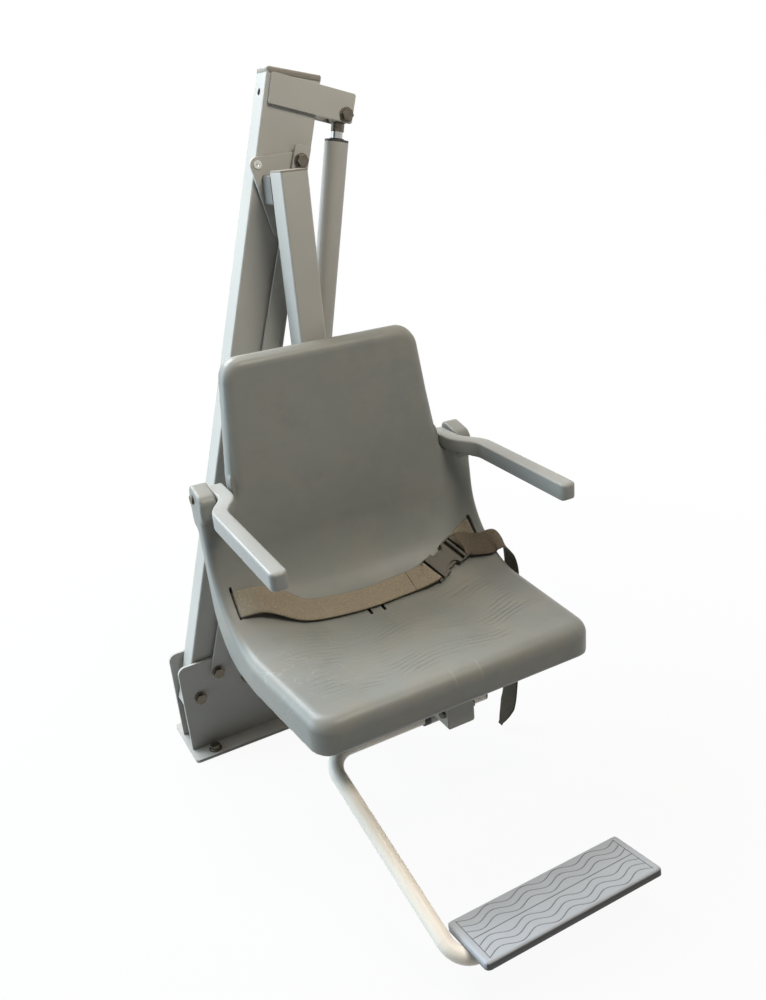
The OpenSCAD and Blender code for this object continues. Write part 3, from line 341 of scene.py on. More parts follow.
paint = powder("frame_paint", PAINT, 0.40)
# painted shade: the standoff gets a darker copy of the frame paint, for the shade it lies in below the
# bracket
paint_shaded = powder("standoff_painted_shade", scaled(PAINT, 0.40), 0.45)
paint_tube = powder("cylinder_paint", scaled(PAINT, 0.92), 0.38)
tube_white = powder("footrest_tube_paint", (0.93, 0.85, 0.74), 0.33, wear=(0.35, 0.33, 0.30), chips=0.35)
bolt_steel = metal("bolt_steel", (0.115, 0.103, 0.080), 0.36, dirty=0.65)
chrome = turned("rod_chrome", (0.38, 0.38, 0.37), 0.24)
rubber = moulded("bumper_rubber", (0.022, 0.022, 0.023), 0.62, 0.3, 300.0)
dark = moulded("dark_plastic", (0.055, 0.052, 0.048), 0.45, 0.15, 400.0)
nylon = moulded("bush_nylon", (0.70, 0.69, 0.65), 0.40, 0.08, 400.0)
cap_mat = moulded("cap_plastic", (0.215, 0.195, 0.165), 0.42, 0.12, 400.0)
buckle_mat = moulded("buckle_plastic", (0.105, 0.094, 0.074), 0.34, 0.10, 600.0, scuff=0.15)
arm_mat = moulded("armrest_plastic", (0.29, 0.29, 0.272), 0.30, 0.05, 300.0, scuff=0.12)
seat_mat = moulded("seat_plastic", (0.226, 0.229, 0.208), 0.36, 0.06, 700.0, spread=0.05, scuff=0.10,
                   marks=seat_marks, height=seat_lines, depth=0.0013)
# the footrest's second colour is painted shade for its grooves, long sides and underside
foot_mat = tread("footrest_plastic_painted_shade", (0.37, 0.38, 0.395), (0.075, 0.076, 0.073))
belt_mat = webbing("belt_webbing", WEBBING)
belt_sewn = webbing("belt_webbing_sewn", WEBBING, stitches=STITCHES, lines=(-0.002,))
# painted shade: a darker copy of the webbing for the hanging tail, which hangs in shade beside the seat
belt_shaded = webbing("belt_webbing_shaded", (0.175, 0.146, 0.104), sheen=0.04, shaded_tip=True)

FINISH = {
    paint: "base_plate front_ear rear_ear mast_tube pivot_sleeve hanger_sleeve arm_front_plate "
           "arm_rear_plate link_bar bracket_plate seat_post seat_arm arm_end_cap seat_rails "
           "footrest_sleeve footrest_saddles",
    paint_shaded: "standoff",
    paint_tube: "barrel_tube barrel_foot",
    tube_white: "footrest_tube",
    bolt_steel: "deck_anchors pivot_bolts pivot_nuts foot_pin_stubs arm_bolt arm_nut arm_spacers "
                "rod_eye hanger_pin hanger_nut link_top_bolt arm_cross_bolt rail_screws armrest_pins "
                "footrest_screws",
    chrome: "piston_rod",
    rubber: "stop_bumper rod_wiper",
    dark: "piston barrel_gland footrest_collars",
    cap_mat: "mast_cap post_cap tube_plugs",
    nylon: "pivot_bushes hanger_bushes foot_bush link_bushes lock_bush",
    seat_mat: "seat_shell",
    arm_mat: "armrest_left armrest_right",
    foot_mat: "footrest_plate",
    belt_mat: "belt_left belt_right belt_tail",
    buckle_mat: "buckle_socket buckle_tongue",
}


def give(ob, mat):
    ob.data.materials.clear()
    ob.data.materials.append(mat)


for finish, nodes in FINISH.items():
    for node in nodes.split():
        give(frame["nodes"][node], finish)


# Mesh helpers
def linked(name, data):
    ob = bpy.data.objects.new(name, data)
    bpy.context.scene.collection.objects.link(ob)
    return ob


def smooth(ob):
    for p in ob.data.polygons:
        p.use_smooth = True
    return ob


def new_object(name, verts, faces):
    me = bpy.data.meshes.new(name)
    me.from_pydata([tuple(v) for v in verts], [], faces)
    me.validate()
    me.update()
    return smooth(linked(name, me))


def applied(ob):
    deps = bpy.context.evaluated_depsgraph_get()
    me = bpy.data.meshes.new_from_object(ob.evaluated_get(deps))
    ob.modifiers.clear()
    ob.data = me
    return ob


def crisp(ob, degrees):
    """Smooth shading that breaks at edges sharper than some degrees."""
    mod = smooth(ob).modifiers.new("edges", "EDGE_SPLIT")
    mod.split_angle = math.radians(degrees)
    return applied(ob)


def outward(ob):
    """Turns the faces of a closed mesh outwards."""
    bm = bmesh.new()
    bm.from_mesh(ob.data)
    bmesh.ops.recalc_face_normals(bm, faces=bm.faces)
    bm.to_mesh(ob.data)
    bm.free()
    return ob


def skin_faces(rings, k):
    """Faces between rings of k points that follow one another."""
    faces = []
    for i in range(rings - 1):
        for j in range(k):
            a, b = i * k + j, i * k + (j + 1) % k
            faces.append((a, b, b + k, a + k))
    return faces


# The sitting surface

# Its hollow: how deep it is at which run, and half its width.
DISH_RUN = [0, 60, 130, 230, 344, 455, 560, 700, 775, 790]
DISH_DEPTH = [0, 3, 7, 11, 13, 10, 6, 4, 0, 0]
DISH_HALF = 235.0


def dished(x, s):
    """Depth of the hollow, in mm, at a distance from the middle and a run."""
    across = np.clip(1 - (np.asarray(x, float) / DISH_HALF) ** 2, 0, None) ** 2
    return np.interp(s, DISH_RUN, DISH_DEPTH) * across


def seat_line(s):
    """Place on the seat's middle line, way up the seat and way out of it, as y and z in mm."""
    s = np.asarray(s, float)
    a = np.clip((s - PAN_RUN) / BEND_R, 0, BEND_A)
    over = np.where(s < PAN_RUN, s - PAN_RUN, np.clip(s - BACK_RUN, 0, None))
    along = np.stack([np.cos(a), np.sin(a)], -1)
    out = np.stack([-np.sin(a), np.cos(a)], -1)
    return np.array([BEND_Y, BEND_Z]) * 1000 - out * BEND_R + over[..., None] * along, along, out


def on_seat(x, s, h):
    """A point at a height over the hollowed surface, in metres."""
    base, _, out = seat_line(s)
    y, z = base + out * float(h - dished(x, s))
    return (SEAT_X + x * MM, y * MM, z * MM)


def seat_up(s, lean=0.0):
    """The way out of the seat at a run, leant towards the back by some degrees."""
    _, along, out = seat_line(s)
    a = math.radians(lean)
    y, z = out * math.cos(a) + along * math.sin(a)
    return (0.0, y, z)


def unrolled(p):
    """Distance from the middle, run and height of points given in mm."""
    dy, dz = p[:, 1] - BEND_Y * 1000, BEND_Z * 1000 - p[:, 2]
    a = np.arctan2(dy, dz)
    start, along, out = seat_line(BACK_RUN)
    q = p[:, 1:] - start
    bend = (dy > 0) & (a <= BEND_A)
    back = (dy > 0) & (a > BEND_A)
    s = np.where(back, BACK_RUN + q @ along, np.where(bend, PAN_RUN + BEND_R * a, FRONT_Y + p[:, 1]))
    d = np.where(back, q @ out, np.where(bend, BEND_R - np.hypot(dy, dz), p[:, 2] - PAN_Z))
    return p[:, 0] - SEAT_X * 1000, s, d


def inset(x, s):
    """Distance in from the seat's outline, and the way in, as sideways and along."""
    low = s < WING_RUN
    pan_half = FRONT_HALF + (PAN_HALF - FRONT_HALF) * np.clip(s - FRONT_R, 0, None) / (PAN_RUN - FRONT_R)
    back_half = WAIST_HALF - (WAIST_HALF - TOP_HALF) * np.clip((s - WING_RUN) / (END_RUN - WING_RUN), 0, 1)
    half = np.where(low, np.where(s < PAN_RUN, pan_half, PAN_HALF), back_half)
    end = np.where(low, s, END_RUN - s)
    r = np.where(low, FRONT_R, TOP_R)
    side = half - np.abs(x)
    cx, cs = r - side, r - end
    corner = (cx > 0) & (cs > 0)
    far = np.hypot(cx, cs)
    e = np.where(corner, r - far, np.minimum(side, end))
    gx = np.where(corner, cx / np.maximum(far, 1e-6), side < end) * -np.sign(x)
    gs = np.where(corner, cs / np.maximum(far, 1e-6), side >= end) * np.where(low, 1.0, -1.0)
    return e, gx, gs


# Seat
VOXEL = 0.0028
LUG_Z, LUG_X, LUG_RUN = 566, 212, 520  # the hinge lugs are above, outside and beyond these
LUG_FRONT, LUG_FALL = -148, 13.0      # their tops fall off in front of this place, by this much
FALL_LENGTH, FALL_HEIGHT = 44, 26     # over this length and this height
RIM_RUN = [0, 60, 233, 320, 500, 520, 539, 560]
RIM_RADIUS = [26, 24, 22, 13, 12, 8, 8, 20]    # of the rounded rim, at those runs
BACK_TAPER = 6.0                      # the back's top is narrower at each side, and lower, than the CAD's
TAPER_RUN, TAPER_HALF = 250.4, 196.0  # by the taper at this run over the wings, and at this half width
SLOTS = ((-251.5, 364, 5.0, 62), (246.5, 366, 8.0, 58),     # for the belt: place, run, width and length
         (-27, 281, 6.4, 33), (0, 281, 6.4, 33))            # drains


def melted(node, name):
    """A copy of the CAD seat with its sharp edges melted round, less so at the hinge lugs."""
    me = frame["nodes"][node].data.copy()
    ob = linked(name, me)
    bm = bmesh.new()
    bm.from_mesh(me)
    bmesh.ops.remove_doubles(bm, verts=bm.verts, dist=0.00005)
    bm.to_mesh(me)
    bm.free()
    mod = ob.modifiers.new("skin", "REMESH")
    mod.mode = "VOXEL"
    mod.voxel_size = VOXEL
    applied(ob)
    group = ob.vertex_groups.new(name="soft")
    for v in ob.data.vertices:
        lug = v.co.z > LUG_Z * MM and abs(v.co.x - SEAT_X) > LUG_X * MM
        group.add([v.index], 0.3 if lug else 1.0, "REPLACE")
    return relaxed(ob, 0.6, 12)


def relaxed(ob, factor, rounds):
    mod = ob.modifiers.new("round", "SMOOTH")
    mod.factor = factor
    mod.iterations = rounds
    mod.vertex_group = "soft"
    return smooth(applied(ob))


def slotted(ob):
    """Cuts the belt slots and the drain slots clean through the skin."""
    corners, below, above = 24, -34, 12
    bm = bmesh.new()
    for x, s, wide, length in SLOTS:
        _, along, out = seat_line(s)
        ex, t, n = Vector((1, 0, 0)), Vector((0, *along)), Vector((0, *out))
        r = wide / 2
        ring = []
        for q in range(corners):
            a = TURN * q / corners
            straight = math.copysign(length / 2 - r, math.sin(a) + 1e-9)
            ring.append((r * math.cos(a), r * math.sin(a) + straight))
        base = Vector(on_seat(x, s, 0))
        low, high = [[bm.verts.new(base + (ex * a + t * b + n * h) * MM) for a, b in ring]
                     for h in (below, above)]
        for i in range(corners):
            j = (i + 1) % corners
            bm.faces.new((low[i], low[j], high[j], high[i]))
        bm.faces.new(low[::-1])
        bm.faces.new(high)
    bmesh.ops.recalc_face_normals(bm, faces=bm.faces)
    me = bpy.data.meshes.new("cutter")
    bm.to_mesh(me)
    bm.free()
    knife = linked("cutter", me)
    mod = ob.modifiers.new("slots", "BOOLEAN")
    mod.operation = "DIFFERENCE"
    mod.solver = "EXACT"
    mod.object = knife
    applied(ob)
    bpy.data.objects.remove(knife)
    crisp(ob, 55)


def read(me, prop, name, kind):
    values = np.empty(len(me.vertices) * 3, kind)
    getattr(me, prop).foreach_get(name, values)
    return values.reshape(-1, 3).astype(float)


def seat():
    ob = melted("seat_shell", "seat_moulding")
    me = ob.data
    p = read(me, "vertices", "co", np.float64) * 1000
    x, s, _ = unrolled(p)
    _, along, _ = seat_line(s)
    above = np.clip((s - WING_RUN) / TAPER_RUN, 0, 1.05)
    p[:, 0] -= x * above * BACK_TAPER / TAPER_HALF
    p[:, 1:] -= (above * BACK_TAPER)[:, None] * along
    normal = read(me, "vertex_normals", "vector", np.float32)

    x, s, d = unrolled(p)
    _, along, out = seat_line(s)
    e, gx, gs = inset(x, s)
    faces_up = (normal[:, 1:] * out).sum(1) > 0.3
    over_lug = p[:, 2] - (LUG_Z + 6)
    fall = np.clip((LUG_FRONT - p[:, 1]) / FALL_LENGTH, 0, 1) * LUG_FALL
    fall *= np.clip(over_lug / FALL_HEIGHT, 0, 1)
    p[:, 2] -= np.where((np.abs(x) > LUG_X + 2) & (over_lug > 0), fall, 0)

    # the rim: points near the outline move onto a round of its radius, the rest of the skin onto the hollow
    radius = np.interp(s, RIM_RUN, RIM_RADIUS)
    lug = (np.abs(x) > LUG_X - 2) & (s > LUG_RUN)
    beside_lug = (s > LUG_RUN) & (s < WING_RUN)
    e = np.where(beside_lug, 100.0, np.maximum(e, 0))
    h = d + dished(x, s)
    near = (e < radius) & (h > -radius) & ~lug
    long = np.hypot(radius - e, radius + h)
    fix = near & ((long > radius) | faces_up) & (long > 1e-3)
    k = np.where(fix, radius / np.maximum(long, 1e-3), 1.0)
    new_e = np.where(fix, radius - (radius - e) * k, e)
    new_h = np.where(fix, (radius + h) * k - radius, h)
    plain = (e >= radius) & ~lug & ((h > 0) | (faces_up & (h > -18)))
    new_h = np.where(plain, 0.0, new_h)
    move = new_e - e
    p[:, 0] += move * gx
    p[:, 1:] += (move * gs)[:, None] * along + (new_h - h)[:, None] * out
    me.vertices.foreach_set("co", (p / 1000).ravel())
    me.update()
    relaxed(ob, 0.5, 4)
    slotted(ob)
    give(ob, seat_mat)
    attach(ob, "hanger")
    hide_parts("seat_shell")


seat()


# Armrests
ARM_REAR, ARM_TIP = 140.5, 511.0      # ends, in front of the origin
ARM_SWAY = 32                         # how far the grip stands outside the hinge
ARM_BEND, ARM_BEND_LENGTH = 188, 84   # where it bends outwards, and over which length
ARM_X, ARM_Y, ARM_Z = 229, 153, 585   # its middle at the hinge: beside the seat's middle, forward and up
ARM_DROP = math.radians(2.5)          # how much it falls towards its tip
ARM_LOW, ARM_HIGH = -13, 12.8         # its underside and top from its middle line
ARM_GRIP, ARM_DEEPER = 212, 4.5       # where its underside starts to fall, and by how much
ARM_HALF, ARM_R = 14.0, 4.0           # half its width, and the radius of its edges
ARM_REAR_R, ARM_TIP_R = 3.0, 10       # rounding of its two ends


def rounded_section(half, low, high, r):
    """A closed section with round corners, as sideways and upward places, in mm."""
    pts = []
    for cx, cz, a0 in ((half - r, high - r, 0), (-half + r, high - r, 90),
                       (-half + r, low + r, 180), (half - r, low + r, 270)):
        for t in np.linspace(0, 90, 5):
            a = math.radians(a0 + t)
            pts.append((cx + r * math.cos(a), cz + r * math.sin(a)))
    return pts


def armrest(side):
    sign = -1 if side == "left" else 1
    ys = list(ARM_REAR + np.array([0, 0.4, 1.4, 3.0])) + list(np.linspace(ARM_REAR + 6, ARM_TIP - 12, 64))
    ys += list(ARM_TIP - ARM_TIP_R * (1 - np.sin(np.radians([6, 20, 34, 48, 62, 76, 90]))))
    verts = []
    for y in ys:
        f = np.clip((y - ARM_BEND) / ARM_BEND_LENGTH, 0, 1)
        shift = ARM_SWAY * (f ** 3 * (10 - 15 * f + 6 * f * f))
        slope = ARM_SWAY * 30 * f * f * (1 - f) ** 2 / ARM_BEND_LENGTH
        mid_z = ARM_Z - (y - ARM_Y) * math.tan(ARM_DROP)
        back = max(0.0, 1 - (y - ARM_REAR) / ARM_REAR_R)
        front = max(0.0, 1 - (ARM_TIP - y) / ARM_TIP_R)
        trim = ARM_REAR_R * (1 - math.sqrt(1 - back ** 2)) + 9.0 * (1 - math.sqrt(max(0.0, 1 - front ** 2)))
        deeper = ARM_DEEPER * float(np.clip((y - ARM_GRIP) / 30, 0, 1))
        half = ARM_HALF - trim
        low, high = ARM_LOW - deeper + 0.6 * trim, ARM_HIGH - 0.6 * trim
        r = min(ARM_R, half * 0.95, (high - low) / 2 * 0.95)
        norm = math.hypot(1, slope)
        section = rounded_section(half, low, high, r)
        for q, z in section:
            x = SEAT_X * 1000 + sign * (ARM_X + shift + q / norm)
            verts.append((x, -(y - q * slope / norm), mid_z + z))
    k = len(section)
    faces = skin_faces(len(ys), k)
    faces.append(tuple(range(k)))
    faces.append(tuple(range((len(ys) - 1) * k, len(ys) * k)))
    ob = outward(new_object("armrest_moulding_" + side, np.array(verts) / 1000, faces))
    give(ob, arm_mat)
    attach(ob, "armrest_" + side)
    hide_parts("armrest_" + side)


armrest("left")
armrest("right")


# Belt
STRAP_W, STRAP_T = 0.050, 0.0019      # in metres
STRAP_STEPS = 12                      # between two points of a strap's line


def catmull(points):
    """A smooth line through points."""
    p = [np.array(q, float) for q in points]
    p = [2 * p[0] - p[1]] + p + [2 * p[-1] - p[-2]]
    line = []
    for i in range(1, len(p) - 2):
        a, b, c, d = p[i - 1:i + 3]
        for j in range(STRAP_STEPS):
            t = j / STRAP_STEPS
            line.append(0.5 * (2 * b + (c - a) * t + (2 * a - 5 * b + 4 * c - d) * t * t
                               + (3 * b - a - 3 * c + d) * t ** 3))
    line.append(p[-2])
    return np.array(line)


def ribbon(name, points, ups, width, zero, taper):
    """A strap. points are its middle line, ups the way its upper face looks, zero the point from which its
    run is measured, and taper the length over which its end narrows."""
    mid, up = catmull(points), catmull(ups)
    tan = np.gradient(mid, axis=0)
    tan /= np.linalg.norm(tan, axis=1)[:, None]
    up = up - (up * tan).sum(1)[:, None] * tan
    up /= np.linalg.norm(up, axis=1)[:, None]
    side = np.cross(tan, up)
    run = np.cumsum(np.r_[0, np.linalg.norm(np.diff(mid, axis=0), axis=1)])
    narrow = np.clip((run[-1] - run) / taper, 0.12, 1) ** 0.6 if taper else np.ones(len(run))
    run -= run[zero * STRAP_STEPS]
    cols = np.linspace(-1, 1, 13)
    ring = [(c, 1) for c in cols] + [(c, -1) for c in cols[::-1]]
    verts, uvs = [], []
    for i in range(len(mid)):
        for c, s in ring:
            round_off = 1 - 0.75 * max(0.0, abs(c) - 0.93) / 0.07
            across = side[i] * c * narrow[i] * width / 2
            verts.append(mid[i] + across + up[i] * (s * STRAP_T / 2 * round_off))
            uvs.append((run[i], c * width / 2))
    k = len(ring)
    faces = skin_faces(len(mid), k)
    for base, flip in ((0, False), ((len(mid) - 1) * k, True)):
        for j in range(len(cols) - 1):
            q = [base + j, base + k - 1 - j, base + k - 2 - j, base + j + 1]
            faces.append(tuple(q[::-1] if flip else q))
    ob = new_object(name, verts, faces)
    layer = ob.data.uv_layers.new(name="UVMap")
    for loop in ob.data.loops:
        layer.data[loop.index].uv = uvs[loop.vertex_index]
    return outward(ob)


def strap(name, points, mat, zero=0, width=STRAP_W, taper=0.0):
    """points are x, run, height and lean over the seat; or x, run, height, 0 and the way the face looks;
    or x from the seat's middle, y, z, 1 and the way the face looks."""
    places, ups = [], []
    for q in points:
        free = len(q) > 4 and q[3]
        places.append((SEAT_X + q[0] * MM, q[1] * MM, q[2] * MM) if free else on_seat(*q[:3]))
        ups.append(q[4] if len(q) > 4 else seat_up(q[1], q[3]))
    ob = ribbon(name, places, ups, width, zero, taper)
    give(ob, mat)
    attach(ob, "hanger")
    return ob


def belts():
    half = np.array(seat_up(358.0)) * 0.8
    left = [(-250.5, 361, -34, 0, (-1, 0, 0)), (-250.5, 361, -8, 0, (-1, 0, 0)),
            (-247.5, 360.5, 2.5, 0, tuple(half + (-0.6, 0, 0))),
            (-238, 359, 8.0, 2), (-221, 357, 13, 2), (-199, 350.5, 15, 3), (-174, 335, 12.5, 4),
            (-155, 322, 8.5, 5), (-138, 313, 6, 6), (-112, 307, 5.2, 6), (-75, 303.5, 5.2, 6.3),
            (-35, 301, 5.2, 6.3), (5, 301, 5.2, 6.3), (45, 302.5, 5.6, 6), (76, 302, 7.5, 4),
            (94, 301.2, 11.5, 2), (106, 301.4, 14.8, 0), (114, 302.6, 15.7, 0), (118.0, 304.2, 15.2, 0),
            (119.6, 304.8, 12.5, 0)]
    a = strap("belt_strap_left", left, belt_sewn, zero=14)
    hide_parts("belt_left")
    fold = [(74, 302.5, 4.0, 5), (95, 301.8, 5.2, 3), (109, 302.6, 7.4, 1), (117, 304.4, 9.0, 0)]
    strap("belt_fold", fold, belt_mat, width=0.0495)
    right = [(204, 341, 3.0, 0), (212, 346, 3.2, 0), (222, 352.5, 4.0, 2), (235, 359, 4, 2),
             (243.5, 362, 1, 0, tuple(half + (0.6, 0, 0))), (246.5, 362.5, -8, 0, (1, 0, 0)),
             (246.5, 362.5, -34, 0, (1, 0, 0))]
    b = strap("belt_strap_right", right, belt_mat)
    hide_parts("belt_right")
    u = np.array(seat_up(327.0))
    tail = [(198.9, 338.2, 6.0, 0), (200.0, 338.6, 11.0, 0), (203.5, 338.8, 13.6, 0), (210, 337, 13.0, 0),
            (220, 333, 11.2, 0), (234, 329, 9.4, 0), (253, 325, 8, 0),
            (262, -258, 383, 1, tuple(u + (0.25, 0, 0))), (275, -261, 386, 1, tuple(u + (0.1, 0, 0))),
            (289, -266, 378, 1, tuple(u + (1.0, 0, -0.1))), (296, -273, 360, 1, (1.0, -0.2, 0.25)),
            (298.5, -280, 335, 1, (1, -0.05, 0.05)), (297, -284, 300, 1, (1, -0.02, -0.02)),
            (292, -294, 250, 1, (1, -0.03, -0.08)), (279, -308, 185, 1, (1, -0.04, -0.12)),
            (264, -319, 130, 1, (1, -0.06, -0.15)), (256, -324, 95, 1, (1, -0.06, -0.15)),
            (250, -325, 62, 1, (0.95, -0.06, -0.25)), (240, -325, 34, 1, (0.85, -0.05, -0.45)),
            (226, -325, 8, 1, (0.7, -0.05, -0.65))]
    c = strap("belt_strap_tail", tail, belt_shaded, taper=0.045)
    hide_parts("belt_tail")


belts()


# Buckle

# In its own frame u runs along the belt, v across it and n up, in mm; u is stretched to reach both straps.
LEFT_END, RIGHT_END = (123.8, 305.5, 2.8), (196.3, 336.7, 3.2)   # where its two ends are, over the seat
MIDDLE_RUN = 321.0                                               # its middle's run
DRAWN_LENGTH, DRAWN_START = 60.2, 4.6                            # the same ends in its own frame
SIDE = 27                                                        # half its width


def rounded(points, corner):
    """Rounds the corners of a closed outline. A point may give its own radius as a third number."""
    out = []
    for i, point in enumerate(points):
        p = np.array(point[:2], float)
        r = point[2] if len(point) > 2 else corner
        if r <= 0:
            out.append(tuple(p))
            continue
        a = np.array(points[i - 1][:2], float) - p
        b = np.array(points[(i + 1) % len(points)][:2], float) - p
        la, lb = np.linalg.norm(a), np.linalg.norm(b)
        cut = min(r, la * 0.45, lb * 0.45)
        start, end = p + a / la * cut, p + b / lb * cut
        for t in np.linspace(0, 1, 6):
            out.append(tuple((1 - t) ** 2 * start + 2 * t * (1 - t) * p + t * t * end))
    return out


def slab(outer, holes, low, high, bevel):
    """A flat moulding with holes and soft edges, as a mesh in mm."""
    cu = bpy.data.curves.new("slab", "CURVE")
    cu.dimensions = "2D"
    cu.fill_mode = "BOTH"
    cu.extrude = (high - low) / 2 - bevel
    cu.bevel_depth = bevel
    cu.bevel_resolution = 2
    cu.offset = -bevel
    for loop in [outer] + holes:
        sp = cu.splines.new("POLY")
        sp.points.add(len(loop) - 1)
        for i, q in enumerate(loop):
            sp.points[i].co = (q[0], q[1], 0, 1)
        sp.use_cyclic_u = True
    ob = linked("slab", cu)
    deps = bpy.context.evaluated_depsgraph_get()
    me = bpy.data.meshes.new_from_object(ob.evaluated_get(deps))
    me.transform(Matrix.Translation((0, 0, (low + high) / 2)))
    bpy.data.objects.remove(ob)
    return me


def rod(x, half, z, r):
    """A round bar across the buckle with soft ends, as a mesh in mm."""
    bm = bmesh.new()
    bmesh.ops.create_cone(bm, segments=20, radius1=1, radius2=1, depth=2 * half, cap_ends=True)
    bmesh.ops.rotate(bm, verts=bm.verts, matrix=Matrix.Rotation(math.pi / 2, 3, "X"))
    bmesh.ops.scale(bm, vec=(r, 1, r), verts=bm.verts)
    ends = [e for e in bm.edges if all(abs(abs(v.co.y) - half) < 0.01 for v in e.verts)]
    bmesh.ops.bevel(bm, geom=ends, offset=0.5, segments=2, affect="EDGES")
    bmesh.ops.translate(bm, verts=bm.verts, vec=(x, 0, z))
    me = bpy.data.meshes.new("rod")
    bm.to_mesh(me)
    bm.free()
    return me


def joined(name, meshes, place):
    bm = bmesh.new()
    for me in meshes:
        bm.from_mesh(me)
    bmesh.ops.transform(bm, matrix=place, verts=bm.verts)
    me = bpy.data.meshes.new(name)
    bm.to_mesh(me)
    bm.free()
    return linked(name, me)


def bite(u0, u1, half, deep):
    """Half a round bite out of a side, from one place along it to another."""
    mid, r = (u0 + u1) / 2, (u1 - u0) / 2
    return [(mid - r * math.cos(t), half - deep * math.sin(t), 0) for t in np.linspace(0, math.pi, 9)]


def mirrored(side):
    """An outline from one side's points and the same points on the other side."""
    return side + [(q[0], -q[1], *q[2:]) for q in side[::-1]]


def window(u0, u1, half, corner):
    return rounded(mirrored([(u0, half), (u1, half)]), corner)


def buckle():
    start, end = Vector(on_seat(*LEFT_END)), Vector(on_seat(*RIGHT_END))
    _, _, out = seat_line(MIDDLE_RUN)
    u = (end - start).normalized()
    v = Vector((0, *out)).cross(u).normalized()
    place = Matrix((u, v, u.cross(v))).transposed().to_4x4()
    place.translation = start
    stretch = (end - start).length / (DRAWN_LENGTH * MM)
    place = place @ Matrix.Diagonal((stretch * MM, MM, MM, 1)) @ Matrix.Translation((-DRAWN_START, 0, 0))

    side = [(-3, SIDE), (9, SIDE, 2), (14, 25.5, 4)] + bite(21, 44, 26.5, 13.5)
    side += [(44, SIDE, 3), (50, SIDE, 1.5)]
    socket = slab(rounded(mirrored(side), 1.5), [window(2.0, 7.0, 25.6, 0.6)], 0, 11.5, 1.1)
    relief = [(10, 20), (18, 20, 2), (24, 13, 5), (41, 13, 5), (45, 21, 2), (46, 21)]
    panel = slab(rounded(mirrored(relief), 2), [], 11.2, 12.0, 0.3)
    a = joined("buckle_body", [socket, panel], place)
    give(a, buckle_mat)
    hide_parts("buckle_socket")

    prong = slab(rounded(mirrored([(14, 15), (24, 20, 4), (36, 20.5, 3), (49, 17)]), 2), [], 2.6, 8.6, 1.6)
    rim = rounded(mirrored([(49.5, SIDE), (55, 28), (72, 28, 3)]), 1.5)
    gaps = [window(51.4, 56.4, 24.6, 0.8), window(60.6, 68.6, 24.6, 0.8)]
    loop = slab(rim, gaps, 1.0, 9.5, 1.2)
    b = joined("buckle_tongue_frame", [prong, loop, rod(58.5, 25.5, 8.2, 2.8)], place)
    give(b, buckle_mat)
    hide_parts("buckle_tongue")
    for ob in (a, b):
        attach(ob, "hanger")
        crisp(ob, 35)


buckle()


# Footrest plate
FOOT_L, FOOT_W, FOOT_T = 321.0, 107.0, 12.0
FOOT_R, FOOT_CORNER = 5.0, 8.0        # rounding of its upper edges and of its corners
FOOT_TILT = math.radians(-9)
FOOT_X, FOOT_Y, FOOT_Z = -164, -849, 90  # its left front corner, from the seat's middle and the origin
FOOT_STEP = 1.2
GROOVE, GROOVE_HALF = 0.9, 0.85       # depth and half width of the waves
ROWS, ROW_PITCH, FIRST_ROW, STRAIGHT_ROW = 7, 13.7, 12.5, 3
WAVE, WAVE_HEIGHT = 63, 5.2
WAVE_STARTS = (20, 51.5)              # where a wave starts, in the rows before the straight one and after
WAVE_ENDS = (12.5, 308.5)             # between which all rows run
FRAME_LINES = (12.0, 309.0)           # straight grooves across both ends
FRAME_IN = 6                          # their distance from the sides
CELLS, RIB, SKIN = 6, 4.0, 4.0        # pockets in a row underneath, their ribs, and what is left over them
SOLID_CELLS = (1, 4)                  # where the saddles sit


def spaced(length, step):
    """Places along one side: close together over the rounded edges, even between them."""
    edge = [FOOT_R * (1 - math.cos(t)) for t in np.linspace(0, math.pi / 2, 7)][:-1]
    inner = np.linspace(FOOT_R, length - FOOT_R, int((length - 2 * FOOT_R) / step) + 1)
    return np.array(edge + list(inner) + [length - q for q in edge[::-1]])


def clamped(x):
    return np.clip(x, 0, 1)


def groove_depth(u, v):
    """How deep the moulded waves of the tread are, from 0 to 1."""
    deep = np.zeros_like(u)
    inside = clamped((u - WAVE_ENDS[0]) / 1.5) * clamped((WAVE_ENDS[1] - u) / 1.5)
    for k in range(ROWS):
        start = WAVE_STARTS[0 if k < STRAIGHT_ROW else 1]
        size = 0.0 if k == STRAIGHT_ROW else WAVE_HEIGHT
        angle = TURN * (u - start) / WAVE
        slope = size * TURN / WAVE * np.cos(angle)
        away = (v - FIRST_ROW - k * ROW_PITCH - size * np.sin(angle)) / np.sqrt(1 + slope ** 2)
        deep = np.maximum(deep, np.exp(-(away / GROOVE_HALF) ** 4) * inside)
    for at in FRAME_LINES:
        line = np.exp(-((u - at) / 0.9) ** 4)
        line *= clamped((v - FRAME_IN) / 2) * clamped((FOOT_W - FRAME_IN - v) / 2)
        deep = np.maximum(deep, line)
    return deep


def underside(u, v):
    """Height of the plate's underside with its pockets, from its top."""
    pocket = (FOOT_L - RIB * (CELLS + 1)) / CELLS
    low = np.full_like(u, -FOOT_T)
    for i in range(CELLS):
        if i in SOLID_CELLS:
            continue
        for j in (0, 1):
            u0, v0 = RIB + i * (pocket + RIB), RIB + j * FOOT_W / 2
            u1, v1 = u0 + pocket, v0 + FOOT_W / 2 - 2 * RIB
            d = np.minimum(np.minimum(u - u0, u1 - u), np.minimum(v - v0, v1 - v))
            low = np.maximum(low, -FOOT_T + (FOOT_T - SKIN) * clamped(d / 1.2))
    return low


